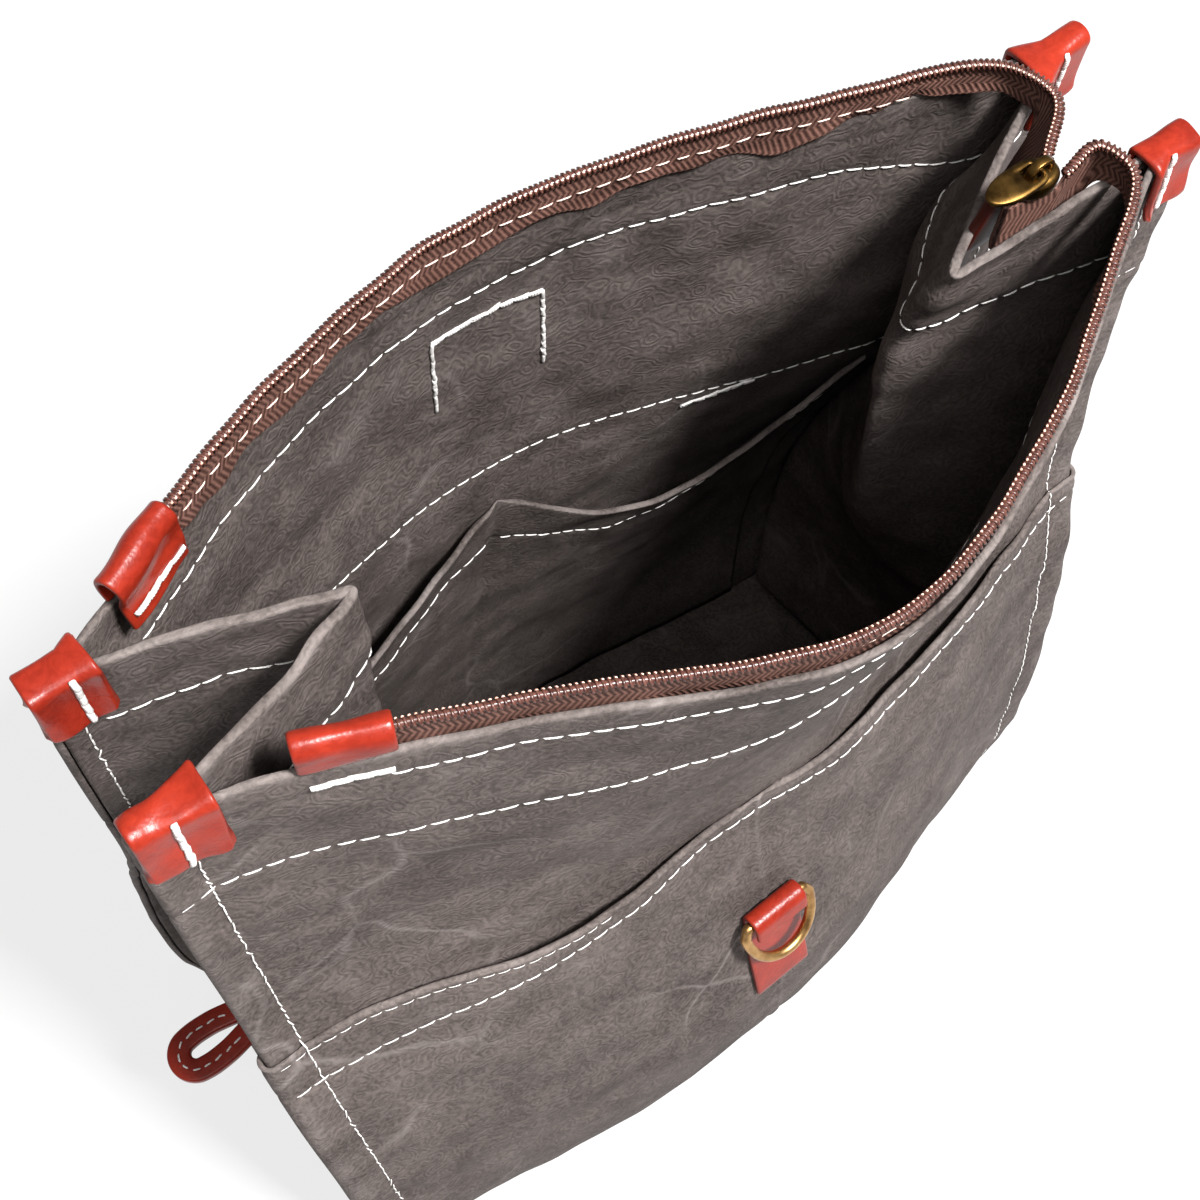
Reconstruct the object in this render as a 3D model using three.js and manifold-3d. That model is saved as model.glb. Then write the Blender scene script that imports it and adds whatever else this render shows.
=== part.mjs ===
// Courier backpack in grey waxed canvas, standing open with its gussets folded in.
// Millimetres, +Z up, the front faces -Y and the wearer's back is towards +Y.
// The origin is the middle of the base, on the surface that the bag stands on.
import * as THREE from 'three';
import { mergeVertices } from 'three/addons/utils/BufferGeometryUtils.js';
import Module from 'manifold-3d';

// Cloth, leather and clearances.
const CANVAS = 1.8;
const LEATHER = 2.2;
const GAP = 0.35;
const FLANGE = 11;

// Heights of the rim and of both pocket mouths, and the base plate's thickness.
const RIM_Z = 400;
const POCKET_Z = 235;
const BASE_PLATE = 2.5;

// One row for each level of the body. half is the seam's distance from the middle, shift and turn
// say how the soft body leans and twists, y, bow, sag and skew shape the front and back panels
// between their seams, and fold is how far each gusset goes in (out where negative). soft is the
// share of a gusset's width that its fold rounds over.
const SECTIONS = [
  { z: 0, half: 146, shift: -3, turn: 2.5, front_y: 68, front_bow: 20, front_sag: 0, front_skew: 1,
    back_y: 64, back_bow: 22, back_sag: 0, back_skew: 1, fold_left: -4, fold_right: -4, soft: 0.85 },
  { z: 50, half: 153, shift: -4, turn: 3, front_y: 75, front_bow: 25, front_sag: 0, front_skew: 1,
    back_y: 69, back_bow: 22, back_sag: 0, back_skew: 1, fold_left: -14, fold_right: -8, soft: 0.85 },
  { z: 110, half: 154, shift: -4, turn: 2.5, front_y: 69, front_bow: 30, front_sag: 0, front_skew: 1,
    back_y: 67, back_bow: 20, back_sag: 0, back_skew: 1, fold_left: -12, fold_right: 6, soft: 0.7 },
  { z: 150, half: 154, shift: -3, turn: 2, front_y: 62, front_bow: 25, front_sag: 0, front_skew: 1,
    back_y: 61, back_bow: 21, back_sag: 0, back_skew: 1, fold_left: 14, fold_right: 28, soft: 0.45 },
  { z: 190, half: 154, shift: -2, turn: 1.2, front_y: 53, front_bow: 22, front_sag: 0, front_skew: 1,
    back_y: 52, back_bow: 26, back_sag: 0, back_skew: 1, fold_left: 44, fold_right: 46, soft: 0.26 },
  { z: 230, half: 153.5, shift: -1, turn: 0.6, front_y: 41, front_bow: 24, front_sag: 0, front_skew: 1.02,
    back_y: 40, back_bow: 34, back_sag: 0, back_skew: 0.97, fold_left: 57, fold_right: 57, soft: 0.2 },
  { z: 270, half: 153.2, shift: 0, turn: 0, front_y: 32, front_bow: 33, front_sag: -1, front_skew: 1.06,
    back_y: 31, back_bow: 41, back_sag: -1, back_skew: 0.93, fold_left: 63, fold_right: 63, soft: 0.16 },
  { z: 330, half: 152.5, shift: 0, turn: 0, front_y: 26, front_bow: 47, front_sag: -5, front_skew: 1.14,
    back_y: 26, back_bow: 46, back_sag: -2, back_skew: 0.88, fold_left: 67, fold_right: 67, soft: 0.13 },
  { z: RIM_Z, half: 151, shift: 0, turn: 0, front_y: 23.5, front_bow: 60, front_sag: -12, front_skew: 1.2,
    back_y: 22.5, back_bow: 44, back_sag: -4, back_skew: 0.85, fold_left: 66, fold_right: 66, soft: 0.12 },
];
// The closed end of the zip pulls the right gusset's fold forwards over the top of the bag.
const RIGHT_FOLD_PULL = 15;
const RIGHT_FOLD_PULL_DEPTH = 90;

// Zip: tape with its coil on top, standing out of the rim on the inside of both panels.
const TAPE = 1.2;
const TAPE_GAP = 0.6;
const TAPE_LAP = 8;
const TAPE_STAND = 11;
const COIL = 3.8;
const SLIDER = { x: 112, y: -13, length: 13, wide: 10.5, narrow: 8, thick: 6.4 };
const BRIDGE = { length: 8, height: 4.2, bar: 1.5, width: 2.6 };
const PULL = { length: 17, width: 9, thick: 1.5, eye_length: 4.6, eye_width: 4.2, eye_wall: 1.8 };
const END_TAB = { y: -9.5, width: 13, drop: 26, thick: 3.4, lean: 8.7 };

// Leather: corner tabs over the upright edges, zip tabs, keeper of the ring, side loop.
const CORNER_TAB = { inward: 9, outward: 0.8, hang: 20 };
const ZIP_TAB = { length: 21.5, inside_hang: 10, thick: 1.8 };
const KEEPER = { width: 24, z: 174, tail: 40, lip: 5 };
const RING = { inner: 25, wire: 3.8, drop: 23, lean: 12 };
const SIDE_LOOP = { y: 14, z: 112, reach: 28, slot: 5, band: 8.5, thick: 4.4 };

// Back: leather patch and two shoulder straps.
const PATCH = { width: 46, bottom: 314, top: 360, thick: 2 };
const STRAP = { width: 36, thick: 3, top_x: 90, top_z: 262, foot_x: 122, foot_z: 22, stand: 44, flat: 24 };

const MATERIALS = {
  canvas: { color: 0x645d5b, roughness: 0.85, metalness: 0 },
  leather: { color: 0xb8402a, roughness: 0.45, metalness: 0 },
  zip: { color: 0x5f3a30, roughness: 0.7, metalness: 0 },
  brass: { color: 0xbe8c50, roughness: 0.35, metalness: 1 },
  webbing: { color: 0x575150, roughness: 0.9, metalness: 0 },
};

const wasm = await Module();
wasm.setup();
const bag = new THREE.Group();

function range(count, from, to) {
  return Array.from({ length: count + 1 }, (_, i) => from + ((to - from) * i) / count);
}

// Reads every column of the section table at height z along a smooth curve through the rows.
function sectionAt(height) {
  const z = Math.min(Math.max(height, 0), RIM_Z);
  const end = SECTIONS.length - 1;
  let row = 0;
  while (row < end - 1 && z > SECTIONS[row + 1].z) row += 1;
  const a = SECTIONS[row];
  const b = SECTIONS[row + 1];
  const before = SECTIONS[Math.max(row - 1, 0)];
  const after = SECTIONS[Math.min(row + 2, end)];
  const step = b.z - a.z;
  const t = (z - a.z) / step;
  const level = {};
  for (const column of Object.keys(a)) {
    const slopeA = ((b[column] - before[column]) / (b.z - before.z)) * step;
    const slopeB = ((after[column] - a[column]) / (after.z - a.z)) * step;
    const rise = b[column] - a[column];
    const square = 3 * rise - 2 * slopeA - slopeB;
    const cube = slopeA + slopeB - 2 * rise;
    level[column] = a[column] + t * (slopeA + t * (square + t * cube));
  }
  return level;
}

// Puts a point of a level where the body's lean and twist carry it.
function place(level, x, y, z) {
  const turn = THREE.MathUtils.degToRad(level.turn);
  return new THREE.Vector3(
    x * Math.cos(turn) - y * Math.sin(turn) + level.shift,
    x * Math.sin(turn) + y * Math.cos(turn),
    z,
  );
}

// A point of the front (side -1) or back (side 1) panel's outer face. u is -1 at the left seam and
// 1 at the right one, and the stitched flanges lie beyond.
function panelPoint(side, u, z) {
  const level = sectionAt(z);
  const name = side < 0 ? 'front' : 'back';
  const across = THREE.MathUtils.clamp((u + 1) / 2, 0, 1);
  const w = across ** level[`${name}_skew`];
  const swell = 2 * w * (1 - w) + 0.5 * Math.sin(Math.PI * w) ** 2;
  const y = side * (level[`${name}_y`] + level[`${name}_bow`] * swell);
  return place(level, u * level.half, y, z + level[`${name}_sag`] * swell);
}

// Level direction along a panel, and the level direction that points out of the bag there.
function panelFrame(side, u, z) {
  const along = panelPoint(side, u + 0.01, z).sub(panelPoint(side, u - 0.01, z)).setZ(0).normalize();
  const out = new THREE.Vector3(-along.y * side, along.x * side, 0);
  return { along, out };
}

// A point at a level distance from a panel's outer face, positive outside the bag.
function offsetPoint(side, u, z, distance) {
  return panelPoint(side, u, z).addScaledVector(panelFrame(side, u, z).out, distance);
}

// Skins a row of section rings into one closed solid. Each ring runs out along one side and back
// along the other, so its end caps are strips between opposite points.
function loft(rings, closed = false) {
  const size = rings[0].length;
  const triangles = [];
  const quad = (a, b, c, d) => triangles.push(a, b, c, a, c, d);
  const spans = closed ? rings.length : rings.length - 1;
  for (let r = 0; r < spans; r += 1) {
    const next = (r + 1) % rings.length;
    for (let i = 0; i < size; i += 1) {
      const j = (i + 1) % size;
      const corners = [r * size + i, r * size + j, next * size + j, next * size + i];
      // Both faces of a wall are split along the same diagonals, so that layers stay parallel.
      if (i < size / 2) quad(...corners);
      else quad(...corners.slice(1), corners[0]);
    }
  }
  const last = (rings.length - 1) * size;
  for (let i = 0; !closed && i < size / 2 - 1; i += 1) {
    const mate = size - 1 - i;
    quad(i, mate, mate - 1, i + 1);
    quad(last + i, last + i + 1, last + mate - 1, last + mate);
  }
  return solidFrom(rings.flat(), triangles);
}

// A geometry whose faces point outwards, whichever way its triangles were listed.
function solidFrom(points, triangles) {
  let volume = 0;
  for (let i = 0; i < triangles.length; i += 3) {
    const [a, b, c] = [0, 1, 2].map((k) => points[triangles[i + k]]);
    volume += a.dot(new THREE.Vector3().crossVectors(b, c));
  }
  const facing = volume > 0 ? triangles : triangles.toReversed();
  const geometry = new THREE.BufferGeometry().setFromPoints(points);
  geometry.setIndex(facing);
  return geometry;
}

// Side offsets of a flat path, with corners mitred so that the offset keeps its distance.
function mitres(path, closed) {
  const count = path.length;
  return path.map((point, i) => {
    const back = closed ? path[(i + count - 1) % count] : path[Math.max(i - 1, 0)];
    const ahead = closed ? path[(i + 1) % count] : path[Math.min(i + 1, count - 1)];
    const before = point.clone().sub(back).normalize();
    const after = ahead.clone().sub(point).normalize();
    const tangent = before.clone().add(after).normalize();
    const cosine = Math.max(tangent.dot(after.lengthSq() > 0 ? after : before), 0.5);
    return new THREE.Vector2(-tangent.y, tangent.x).divideScalar(cosine);
  });
}

// Carries a profile along a flat path. The frame's across and ahead axes hold the path, and its
// up axis holds the profile's height.
function sweepFlat(path, profile, frame, closed = false) {
  const sides = mitres(path, closed);
  const rings = path.map((point, i) => profile.map(([side, up]) => frame.origin.clone()
    .addScaledVector(frame.across, point.x + sides[i].x * side)
    .addScaledVector(frame.ahead, point.y + sides[i].y * side)
    .addScaledVector(frame.up, up)));
  return loft(rings, closed);
}

function circle(radius, sides) {
  return range(sides - 1, 0.5, sides - 0.5).map((i) => {
    const angle = (2 * Math.PI * i) / sides;
    return [radius * Math.cos(angle), radius * Math.sin(angle)];
  });
}

function addPiece(name, geometry, material) {
  const mesh = new THREE.Mesh(geometry, new THREE.MeshStandardMaterial(MATERIALS[material]));
  mesh.name = name;
  bag.add(mesh);
}

// A cloth layer that follows a panel, between two distances from the panel's outer face.
function clothLayer(side, us, heights, nearFace, thickness, zAt) {
  const rings = heights.map((v) => {
    const face = (u, extra) => offsetPoint(side, u, zAt(u, v), nearFace(u, v) + extra);
    return [...us.map((u) => face(u, 0)), ...us.toReversed().map((u) => face(u, thickness))];
  });
  return loft(rings);
}

// Front and back panels, from flange tip to flange tip.
const FLANGE_U = 1 + FLANGE / SECTIONS.at(-1).half;
const PANEL_US = [-FLANGE_U, ...range(22, -1, 1), FLANGE_U];
const PANEL_ROWS = [0, 25, 50, 80, 110, 135, 160, 185, 210, POCKET_Z, 265, 300, 335, 362, 382, RIM_Z];
for (const [name, side] of [['front_panel', -1], ['back_panel', 1]]) {
  const panel = clothLayer(side, PANEL_US, PANEL_ROWS, () => -CANVAS, CANVAS, (u, z) => z);
  addPiece(name, panel, 'canvas');
}

// Rounds a corner of a flat path with a curve that starts and ends at a reach from it.
function rounded(before, corner, after, reach, steps) {
  const start = corner.clone().add(before.clone().sub(corner).setLength(reach));
  const end = corner.clone().add(after.clone().sub(corner).setLength(reach));
  return new THREE.QuadraticBezierCurve(start, corner, end).getPoints(steps);
}

// The middle line of a gusset at one level, on the right of the bag: along the back flange, round
// its fold and out along the front flange.
const SEAM_REACH = 4;
const LEG_BREAK = 0.35;
function gussetPath(hand, z) {
  const level = sectionAt(z);
  const inset = CANVAS + GAP + CANVAS / 2;
  const fold = hand < 0 ? level.fold_left : level.fold_right;
  const pull = Math.max(0, 1 - (RIM_Z - z) / RIGHT_FOLD_PULL_DEPTH) ** 2;
  const tip = level.half + FLANGE - GAP;
  const backY = level.back_y - inset;
  const frontY = inset - level.front_y;
  const middle = (backY + frontY) / 2 - (hand > 0 ? RIGHT_FOLD_PULL * pull : 0);
  const backSeam = new THREE.Vector2(level.half, backY);
  const foldPoint = new THREE.Vector2(level.half - fold, middle);
  const frontSeam = new THREE.Vector2(level.half, frontY);
  const backTip = new THREE.Vector2(tip, backY);
  const frontTip = new THREE.Vector2(tip, frontY);
  const reach = level.soft * Math.min(foldPoint.distanceTo(backSeam), foldPoint.distanceTo(frontSeam));
  const leg = (seam) => {
    const straight = seam.distanceTo(foldPoint) - reach - SEAM_REACH;
    return seam.clone().add(foldPoint.clone().sub(seam).setLength(SEAM_REACH + LEG_BREAK * straight));
  };
  const path = [
    backTip,
    ...rounded(backTip, backSeam, foldPoint, SEAM_REACH, 2),
    leg(backSeam),
    ...rounded(backSeam, foldPoint, frontSeam, reach, 7),
    leg(frontSeam),
    ...rounded(foldPoint, frontSeam, frontTip, SEAM_REACH, 2),
    frontTip,
  ];
  return { level, path };
}

for (const [name, hand] of [['gusset_left', -1], ['gusset_right', 1]]) {
  const rings = PANEL_ROWS.map((z) => {
    const { level, path } = gussetPath(hand, z);
    const sides = mitres(path, false);
    const face = (distance) => path.map((p, i) => place(
      level,
      hand * (p.x + sides[i].x * distance),
      p.y + sides[i].y * distance,
      z,
    ));
    return [...face(-CANVAS / 2), ...face(CANVAS / 2).toReversed()];
  });
  addPiece(name, loft(rings), 'canvas');
}

// Base: a plate inside the foot of the four walls.
const base = [0, BASE_PLATE].map((z) => {
  const inset = CANVAS + GAP;
  const corner = 0.93;
  const cheekInset = CANVAS / 2 + GAP + 1.4;
  const cheekHalf = 20;
  const wallHalf = (side) => range(14, -corner, corner).map((u) => offsetPoint(side, u, z, -inset));
  const cheek = (hand) => {
    const { level, path } = gussetPath(hand, z);
    const middle = path[Math.floor(path.length / 2)];
    return place(level, hand * (middle.x - cheekInset), middle.y, z);
  };
  const left = cheek(-1);
  const right = cheek(1);
  const end = (point, y) => point.clone().setY(point.y + y);
  return [
    end(left, cheekHalf), ...wallHalf(1).map((p) => p.setZ(z)), end(right, cheekHalf),
    end(right, -cheekHalf), ...wallHalf(-1).toReversed().map((p) => p.setZ(z)), end(left, -cheekHalf),
  ];
});
addPiece('base_panel', loft(base), 'canvas');

// Swell of a pocket's two compartments, nothing at the side and centre seams.
function gape(u, leftGape, rightGape) {
  return (u < 0 ? leftGape : rightGape) * Math.sin(Math.PI * u) ** 2;
}

// Pockets share the panels' grid of folds, so that each layer lies flat on the one behind it.
const POCKET_US = PANEL_US.slice(2, -2);
const pocketRows = (bottom, top) => [bottom, ...PANEL_ROWS.filter((z) => z > bottom && z < top - 5), top];

// Front pocket: one layer over the lower front, sewn down the middle, with its left mouth agape.
const FRONT_POCKET = { left: 9, right: 7.5, bottom: 1.5, edge: 0.985 };
const frontPocketUs = [-FRONT_POCKET.edge, ...POCKET_US, FRONT_POCKET.edge];
const frontPocketStand = (u, z) => GAP + gape(u, FRONT_POCKET.left, FRONT_POCKET.right) * (z / POCKET_Z) ** 2;
addPiece('front_pocket', clothLayer(
  -1,
  frontPocketUs,
  pocketRows(FRONT_POCKET.bottom, POCKET_Z),
  frontPocketStand,
  CANVAS,
  (u, z) => z,
), 'canvas');

// Inner pocket: a like layer inside the back, whose right mouth sags.
const INNER_POCKET = { left: 8, right: 11, sag_left: 6, sag_right: 30, bottom: BASE_PLATE + 1 };
const innerPocketAcross = (u) => u / POCKET_US.at(-1);
const innerPocketStand = (u, z) => {
  const swell = gape(innerPocketAcross(u), INNER_POCKET.left, INNER_POCKET.right);
  return -(CANVAS + GAP + CANVAS) - swell * (z / POCKET_Z) ** 2;
};
const innerPocketZ = (u, z) => {
  const sag = gape(innerPocketAcross(u), INNER_POCKET.sag_left, INNER_POCKET.sag_right);
  return z - sag * (z / POCKET_Z) ** 2;
};
addPiece('inner_pocket', clothLayer(
  1,
  POCKET_US,
  pocketRows(INNER_POCKET.bottom, POCKET_Z),
  innerPocketStand,
  CANVAS,
  innerPocketZ,
), 'canvas');

// Zip tapes: sewn inside each rim, then free round the top corner of the right gusset to the slider.
const TAPE_FACE = -(CANVAS + TAPE_GAP + TAPE / 2);
const SLIDER_MOUTH = SLIDER.x + SLIDER.length / 2;
const ZIPS = [
  { name: 'back', side: 1, start: -0.878, leave: 0.74, bend: [[133, 15], [135, 5]], end_shift: 3.2 },
  { name: 'front', side: -1, start: -0.796, leave: 0.76, bend: [[135, -22], [133, -15]], end_shift: -3.2 },
];
const CLEAR_OF_GUSSET = 0.8;
for (const zip of ZIPS) {
  const us = range(24, zip.start, zip.leave);
  const sewn = us.map((u) => offsetPoint(zip.side, u, RIM_Z, TAPE_FACE));
  const hems = us.map((u) => offsetPoint(zip.side, u, RIM_Z - TAPE_LAP, TAPE_FACE));
  const free = new THREE.CatmullRomCurve3([
    sewn.at(-2),
    sewn.at(-1),
    ...zip.bend.map(([x, y]) => new THREE.Vector3(x, y, RIM_Z)),
    new THREE.Vector3(SLIDER_MOUTH + 4 * GAP, SLIDER.y + zip.end_shift, RIM_Z),
  ]).getPoints(16).slice(5);
  const line = [...sewn, ...free];
  const sides = mitres(line.map((p) => new THREE.Vector2(p.x, p.y)), false);
  const rings = line.map((p, i) => {
    const loose = THREE.MathUtils.clamp((i - sewn.length + 6) / 6, 0, 1);
    const crest = p.clone().setZ(p.z + CLEAR_OF_GUSSET);
    const hem = (hems[i] ?? crest).clone().lerp(crest, loose);
    const at = (foot, d, h) => {
      return new THREE.Vector3(foot.x + sides[i].x * d, foot.y + sides[i].y * d, foot.z + h);
    };
    const face = (sign) => [
      at(hem, (sign * TAPE) / 2, 0),
      at(p, (sign * TAPE) / 2, TAPE_STAND - COIL),
      at(p, (sign * COIL) / 2, TAPE_STAND - 0.75 * COIL),
      at(p, (sign * COIL) / 2, TAPE_STAND - 0.2 * COIL),
    ];
    return [...face(-1), ...face(1).toReversed()];
  });
  addPiece(`zip_tape_${zip.name}`, loft(rings), 'zip');
}

// Zip tabs: leather folded over the left end of each tape, longer on the inside.
for (const zip of ZIPS) {
  const half = SECTIONS.at(-1).half;
  const from = zip.start - 4 / half;
  const inner = COIL / 2 + GAP;
  const outer = inner + ZIP_TAB.thick;
  const top = TAPE_STAND + GAP;
  const outline = [[-outer, -ZIP_TAB.inside_hang], [-outer, top - 1], [-0.6 * outer, top + 1.1],
    [0, top + ZIP_TAB.thick], [0.6 * outer, top + 1.1], [outer, top - 1], [outer, GAP + 0.4]];
  const hollow = [[inner, GAP + 0.4], [inner, top - 0.6], [0.7 * inner, top], [0, top + 0.1],
    [-0.7 * inner, top], [-inner, top - 0.6], [-inner, -ZIP_TAB.inside_hang]];
  const rings = range(5, from, from + ZIP_TAB.length / half).map((u) => {
    const { out } = panelFrame(zip.side, u, RIM_Z);
    const foot = offsetPoint(zip.side, u, RIM_Z, TAPE_FACE);
    return [...outline, ...hollow].map(([d, h]) => foot.clone().addScaledVector(out, d).setZ(foot.z + h));
  });
  addPiece(`zip_tab_${zip.name}`, loft(rings), 'leather');
}

// How far forward or back a gusset's outer face lies at a distance x from the middle of the bag.
function grooveY(hand, side, x, z, distance) {
  const { path } = gussetPath(hand, z);
  const sides = mitres(path, false);
  const face = path.map((p, i) => p.clone().addScaledVector(sides[i], CANVAS / 2 + distance));
  const half = Math.ceil(face.length / 2);
  const leg = side > 0 ? face.slice(0, half) : face.toReversed().slice(0, half);
  const far = Math.max(leg.findIndex((p) => p.x <= x), 1);
  const t = THREE.MathUtils.clamp((leg[far - 1].x - x) / (leg[far - 1].x - leg[far].x), 0, 1);
  return THREE.MathUtils.lerp(leg[far - 1].y, leg[far].y, t);
}

// Corner tabs: leather saddles over the top of each upright edge, spread on the inward half where
// the gusset leaves the panel.
for (const [sideName, side] of [['back', 1], ['front', -1]]) {
  for (const [handName, hand] of [['left', -1], ['right', 1]]) {
    const { inward, outward } = CORNER_TAB;
    const stations = [FLANGE + outward, 0.45 * FLANGE, 0, -0.5 * inward, -inward];
    const rings = stations.map((e) => {
      const outFace = (drop, extra) => {
        const z = RIM_Z - drop;
        return offsetPoint(side, (hand * (sectionAt(z).half + e)) / sectionAt(z).half, z, GAP + extra);
      };
      const inFace = (drop, extra) => {
        const z = RIM_Z - drop;
        const level = sectionAt(z);
        const x = level.half + e;
        return place(level, hand * x, grooveY(hand, side, x, z, 1.5 * GAP + extra), z);
      };
      const drops = [CORNER_TAB.hang, 0.45 * CORNER_TAB.hang, -0.2];
      const crest = (rise) => outFace(0, 0).add(inFace(0, 0)).multiplyScalar(0.5).setZ(panelPoint(
        side,
        (hand * (SECTIONS.at(-1).half + e)) / SECTIONS.at(-1).half,
        RIM_Z,
      ).z + rise);
      return [
        ...drops.map((d) => outFace(d, LEATHER)), crest(GAP + 0.6 + LEATHER),
        ...drops.toReversed().map((d) => inFace(d, LEATHER)),
        ...drops.map((d) => inFace(d, 0)), crest(GAP + 0.6), ...drops.toReversed().map((d) => outFace(d, 0)),
      ];
    });
    addPiece(`corner_tab_${sideName}_${handName}`, loft(rings), 'leather');
  }
}

// Ring and keeper: leather that lies on the pocket's centre seam and rolls over the ring's bar.
const seat = offsetPoint(-1, 0, KEEPER.z, GAP + CANVAS);
const across = panelFrame(-1, 0, KEEPER.z).along;
const climb = offsetPoint(-1, 0, KEEPER.z + 5, 0).sub(offsetPoint(-1, 0, KEEPER.z - 5, 0)).normalize();
const outward = new THREE.Vector3().crossVectors(across, climb).normalize();
const barDistance = GAP + LEATHER + GAP + RING.wire / 2;
const rollRadius = RING.wire / 2 + GAP + LEATHER / 2;
const tail = range(5, KEEPER.z - KEEPER.tail, KEEPER.z - 1).map((z) => {
  const p = offsetPoint(-1, 0, z, GAP + CANVAS).sub(seat);
  return new THREE.Vector2(p.dot(outward) + GAP + LEATHER / 2, p.dot(climb));
});
const roll = range(8, Math.PI, 0).map((a) => new THREE.Vector2(
  barDistance + rollRadius * Math.cos(a),
  rollRadius * Math.sin(a),
));
const lip = new THREE.Vector2(barDistance + rollRadius, -KEEPER.lip);
const strip = [[-LEATHER / 2, -KEEPER.width / 2], [LEATHER / 2, -KEEPER.width / 2],
  [LEATHER / 2, KEEPER.width / 2], [-LEATHER / 2, KEEPER.width / 2]];
addPiece(
  'd_ring_keeper',
  sweepFlat([...tail, ...roll, lip], strip, { origin: seat, across: outward, ahead: climb, up: across }),
  'leather',
);

const bar = seat.clone().addScaledVector(outward, barDistance);
const lean = THREE.MathUtils.degToRad(RING.lean);
const hang = climb.clone().multiplyScalar(-Math.cos(lean)).addScaledVector(outward, Math.sin(lean));
const ringHalf = (RING.inner + RING.wire) / 2;
const ringPath = [
  ...range(14, 0, Math.PI).map((a) => new THREE.Vector2(
    ringHalf * Math.cos(a),
    RING.drop * Math.sin(a) ** 0.8,
  )),
  new THREE.Vector2(-ringHalf / 3, 0),
  new THREE.Vector2(ringHalf / 3, 0),
];
const ringUp = new THREE.Vector3().crossVectors(across, hang);
addPiece(
  'd_ring',
  sweepFlat(ringPath, circle(RING.wire / 2, 8), { origin: bar, across, ahead: hang, up: ringUp }, true),
  'brass',
);

// Side loop: a stitched leather strap bent into a flat eye beside the left gusset.
const cheekPath = gussetPath(-1, SIDE_LOOP.z - SIDE_LOOP.thick);
const cheekNear = cheekPath.path.filter((p) => Math.abs(p.y - SIDE_LOOP.y) < SIDE_LOOP.reach);
const cheekX = Math.max(...cheekNear.map((p) => p.x));
const loopRoot = place(cheekPath.level, -(cheekX + CANVAS / 2 + GAP), SIDE_LOOP.y, SIDE_LOOP.z);
const loopHalf = (SIDE_LOOP.slot + SIDE_LOOP.band) / 2;
const loopTurn = SIDE_LOOP.reach - loopHalf - SIDE_LOOP.band / 2;
const loopPath = [
  new THREE.Vector2(0, loopHalf * 0.75),
  new THREE.Vector2(-loopTurn * 0.5, loopHalf),
  ...range(8, Math.PI / 2, 1.5 * Math.PI).map((a) => new THREE.Vector2(
    -loopTurn + loopHalf * Math.cos(a),
    loopHalf * Math.sin(a),
  )),
  new THREE.Vector2(-loopTurn * 0.5, -loopHalf),
  new THREE.Vector2(0, -loopHalf * 0.75),
];
const halfBand = SIDE_LOOP.band / 2;
const halfThick = SIDE_LOOP.thick / 2;
const bandProfile = [
  [-halfBand, -halfThick + 1],
  [-halfBand, halfThick - 1],
  [-halfBand + 1, halfThick],
  [halfBand - 1, halfThick],
  [halfBand, halfThick - 1],
  [halfBand, -halfThick + 1],
  [halfBand - 1, -halfThick],
  [-halfBand + 1, -halfThick],
];
addPiece('side_loop', sweepFlat(loopPath, bandProfile, {
  origin: loopRoot,
  across: new THREE.Vector3(1, 0, 0),
  ahead: new THREE.Vector3(0, 1, 0),
  up: new THREE.Vector3(0, 0, 1),
}), 'leather');

// Back patch, where a stitched box shows on the inside.
const patchU = PATCH.width / 2 / SECTIONS.at(-1).half;
addPiece('back_patch', clothLayer(
  1,
  range(4, -patchU, patchU),
  range(3, PATCH.bottom, PATCH.top),
  () => GAP,
  PATCH.thick,
  (u, z) => z,
), 'leather');

// Shoulder straps: sewn flat under the back seam and at the foot, standing clear in between.
for (const [name, hand] of [['strap_left', -1], ['strap_right', 1]]) {
  const rings = range(16, 0, 1).map((t) => {
    const z = THREE.MathUtils.lerp(STRAP.top_z, STRAP.foot_z, t);
    const x = hand * THREE.MathUtils.lerp(STRAP.top_x, STRAP.foot_x, t);
    const run = (STRAP.top_z - STRAP.foot_z) * Math.min(t, 1 - t);
    const free = Math.max(0, run - STRAP.flat) / ((STRAP.top_z - STRAP.foot_z) / 2 - STRAP.flat);
    const stand = STRAP.stand * Math.sin((Math.PI / 2) * free) ** 1.5;
    const u = x / sectionAt(z).half;
    const { along, out } = panelFrame(1, u, z);
    const seatOut = Math.max(...[-1, -0.5, 0, 0.5, 1].map((k) => {
      const edge = panelPoint(1, u + (k * STRAP.width) / 2 / sectionAt(z).half, z);
      return edge.sub(panelPoint(1, u, z)).dot(out);
    }));
    const near = panelPoint(1, u, z).addScaledVector(out, 2 * GAP + seatOut + stand);
    const corner = (w, d) => near.clone().addScaledVector(along, w * STRAP.width).addScaledVector(out, d);
    return [corner(-0.5, 0), corner(0.5, 0), corner(0.5, STRAP.thick), corner(-0.5, STRAP.thick)];
  });
  addPiece(name, loft(rings), 'webbing');
}

// A closed manifold solid of a geometry moved to its place.
function manifoldOf(geometry, matrix) {
  const bare = geometry.clone().applyMatrix4(matrix);
  bare.deleteAttribute('normal');
  bare.deleteAttribute('uv');
  const merged = mergeVertices(bare, 1e-4);
  return new wasm.Manifold(new wasm.Mesh({
    numProp: 3,
    vertProperties: new Float32Array(merged.attributes.position.array),
    triVerts: new Uint32Array(merged.index.array),
  }));
}

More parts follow.
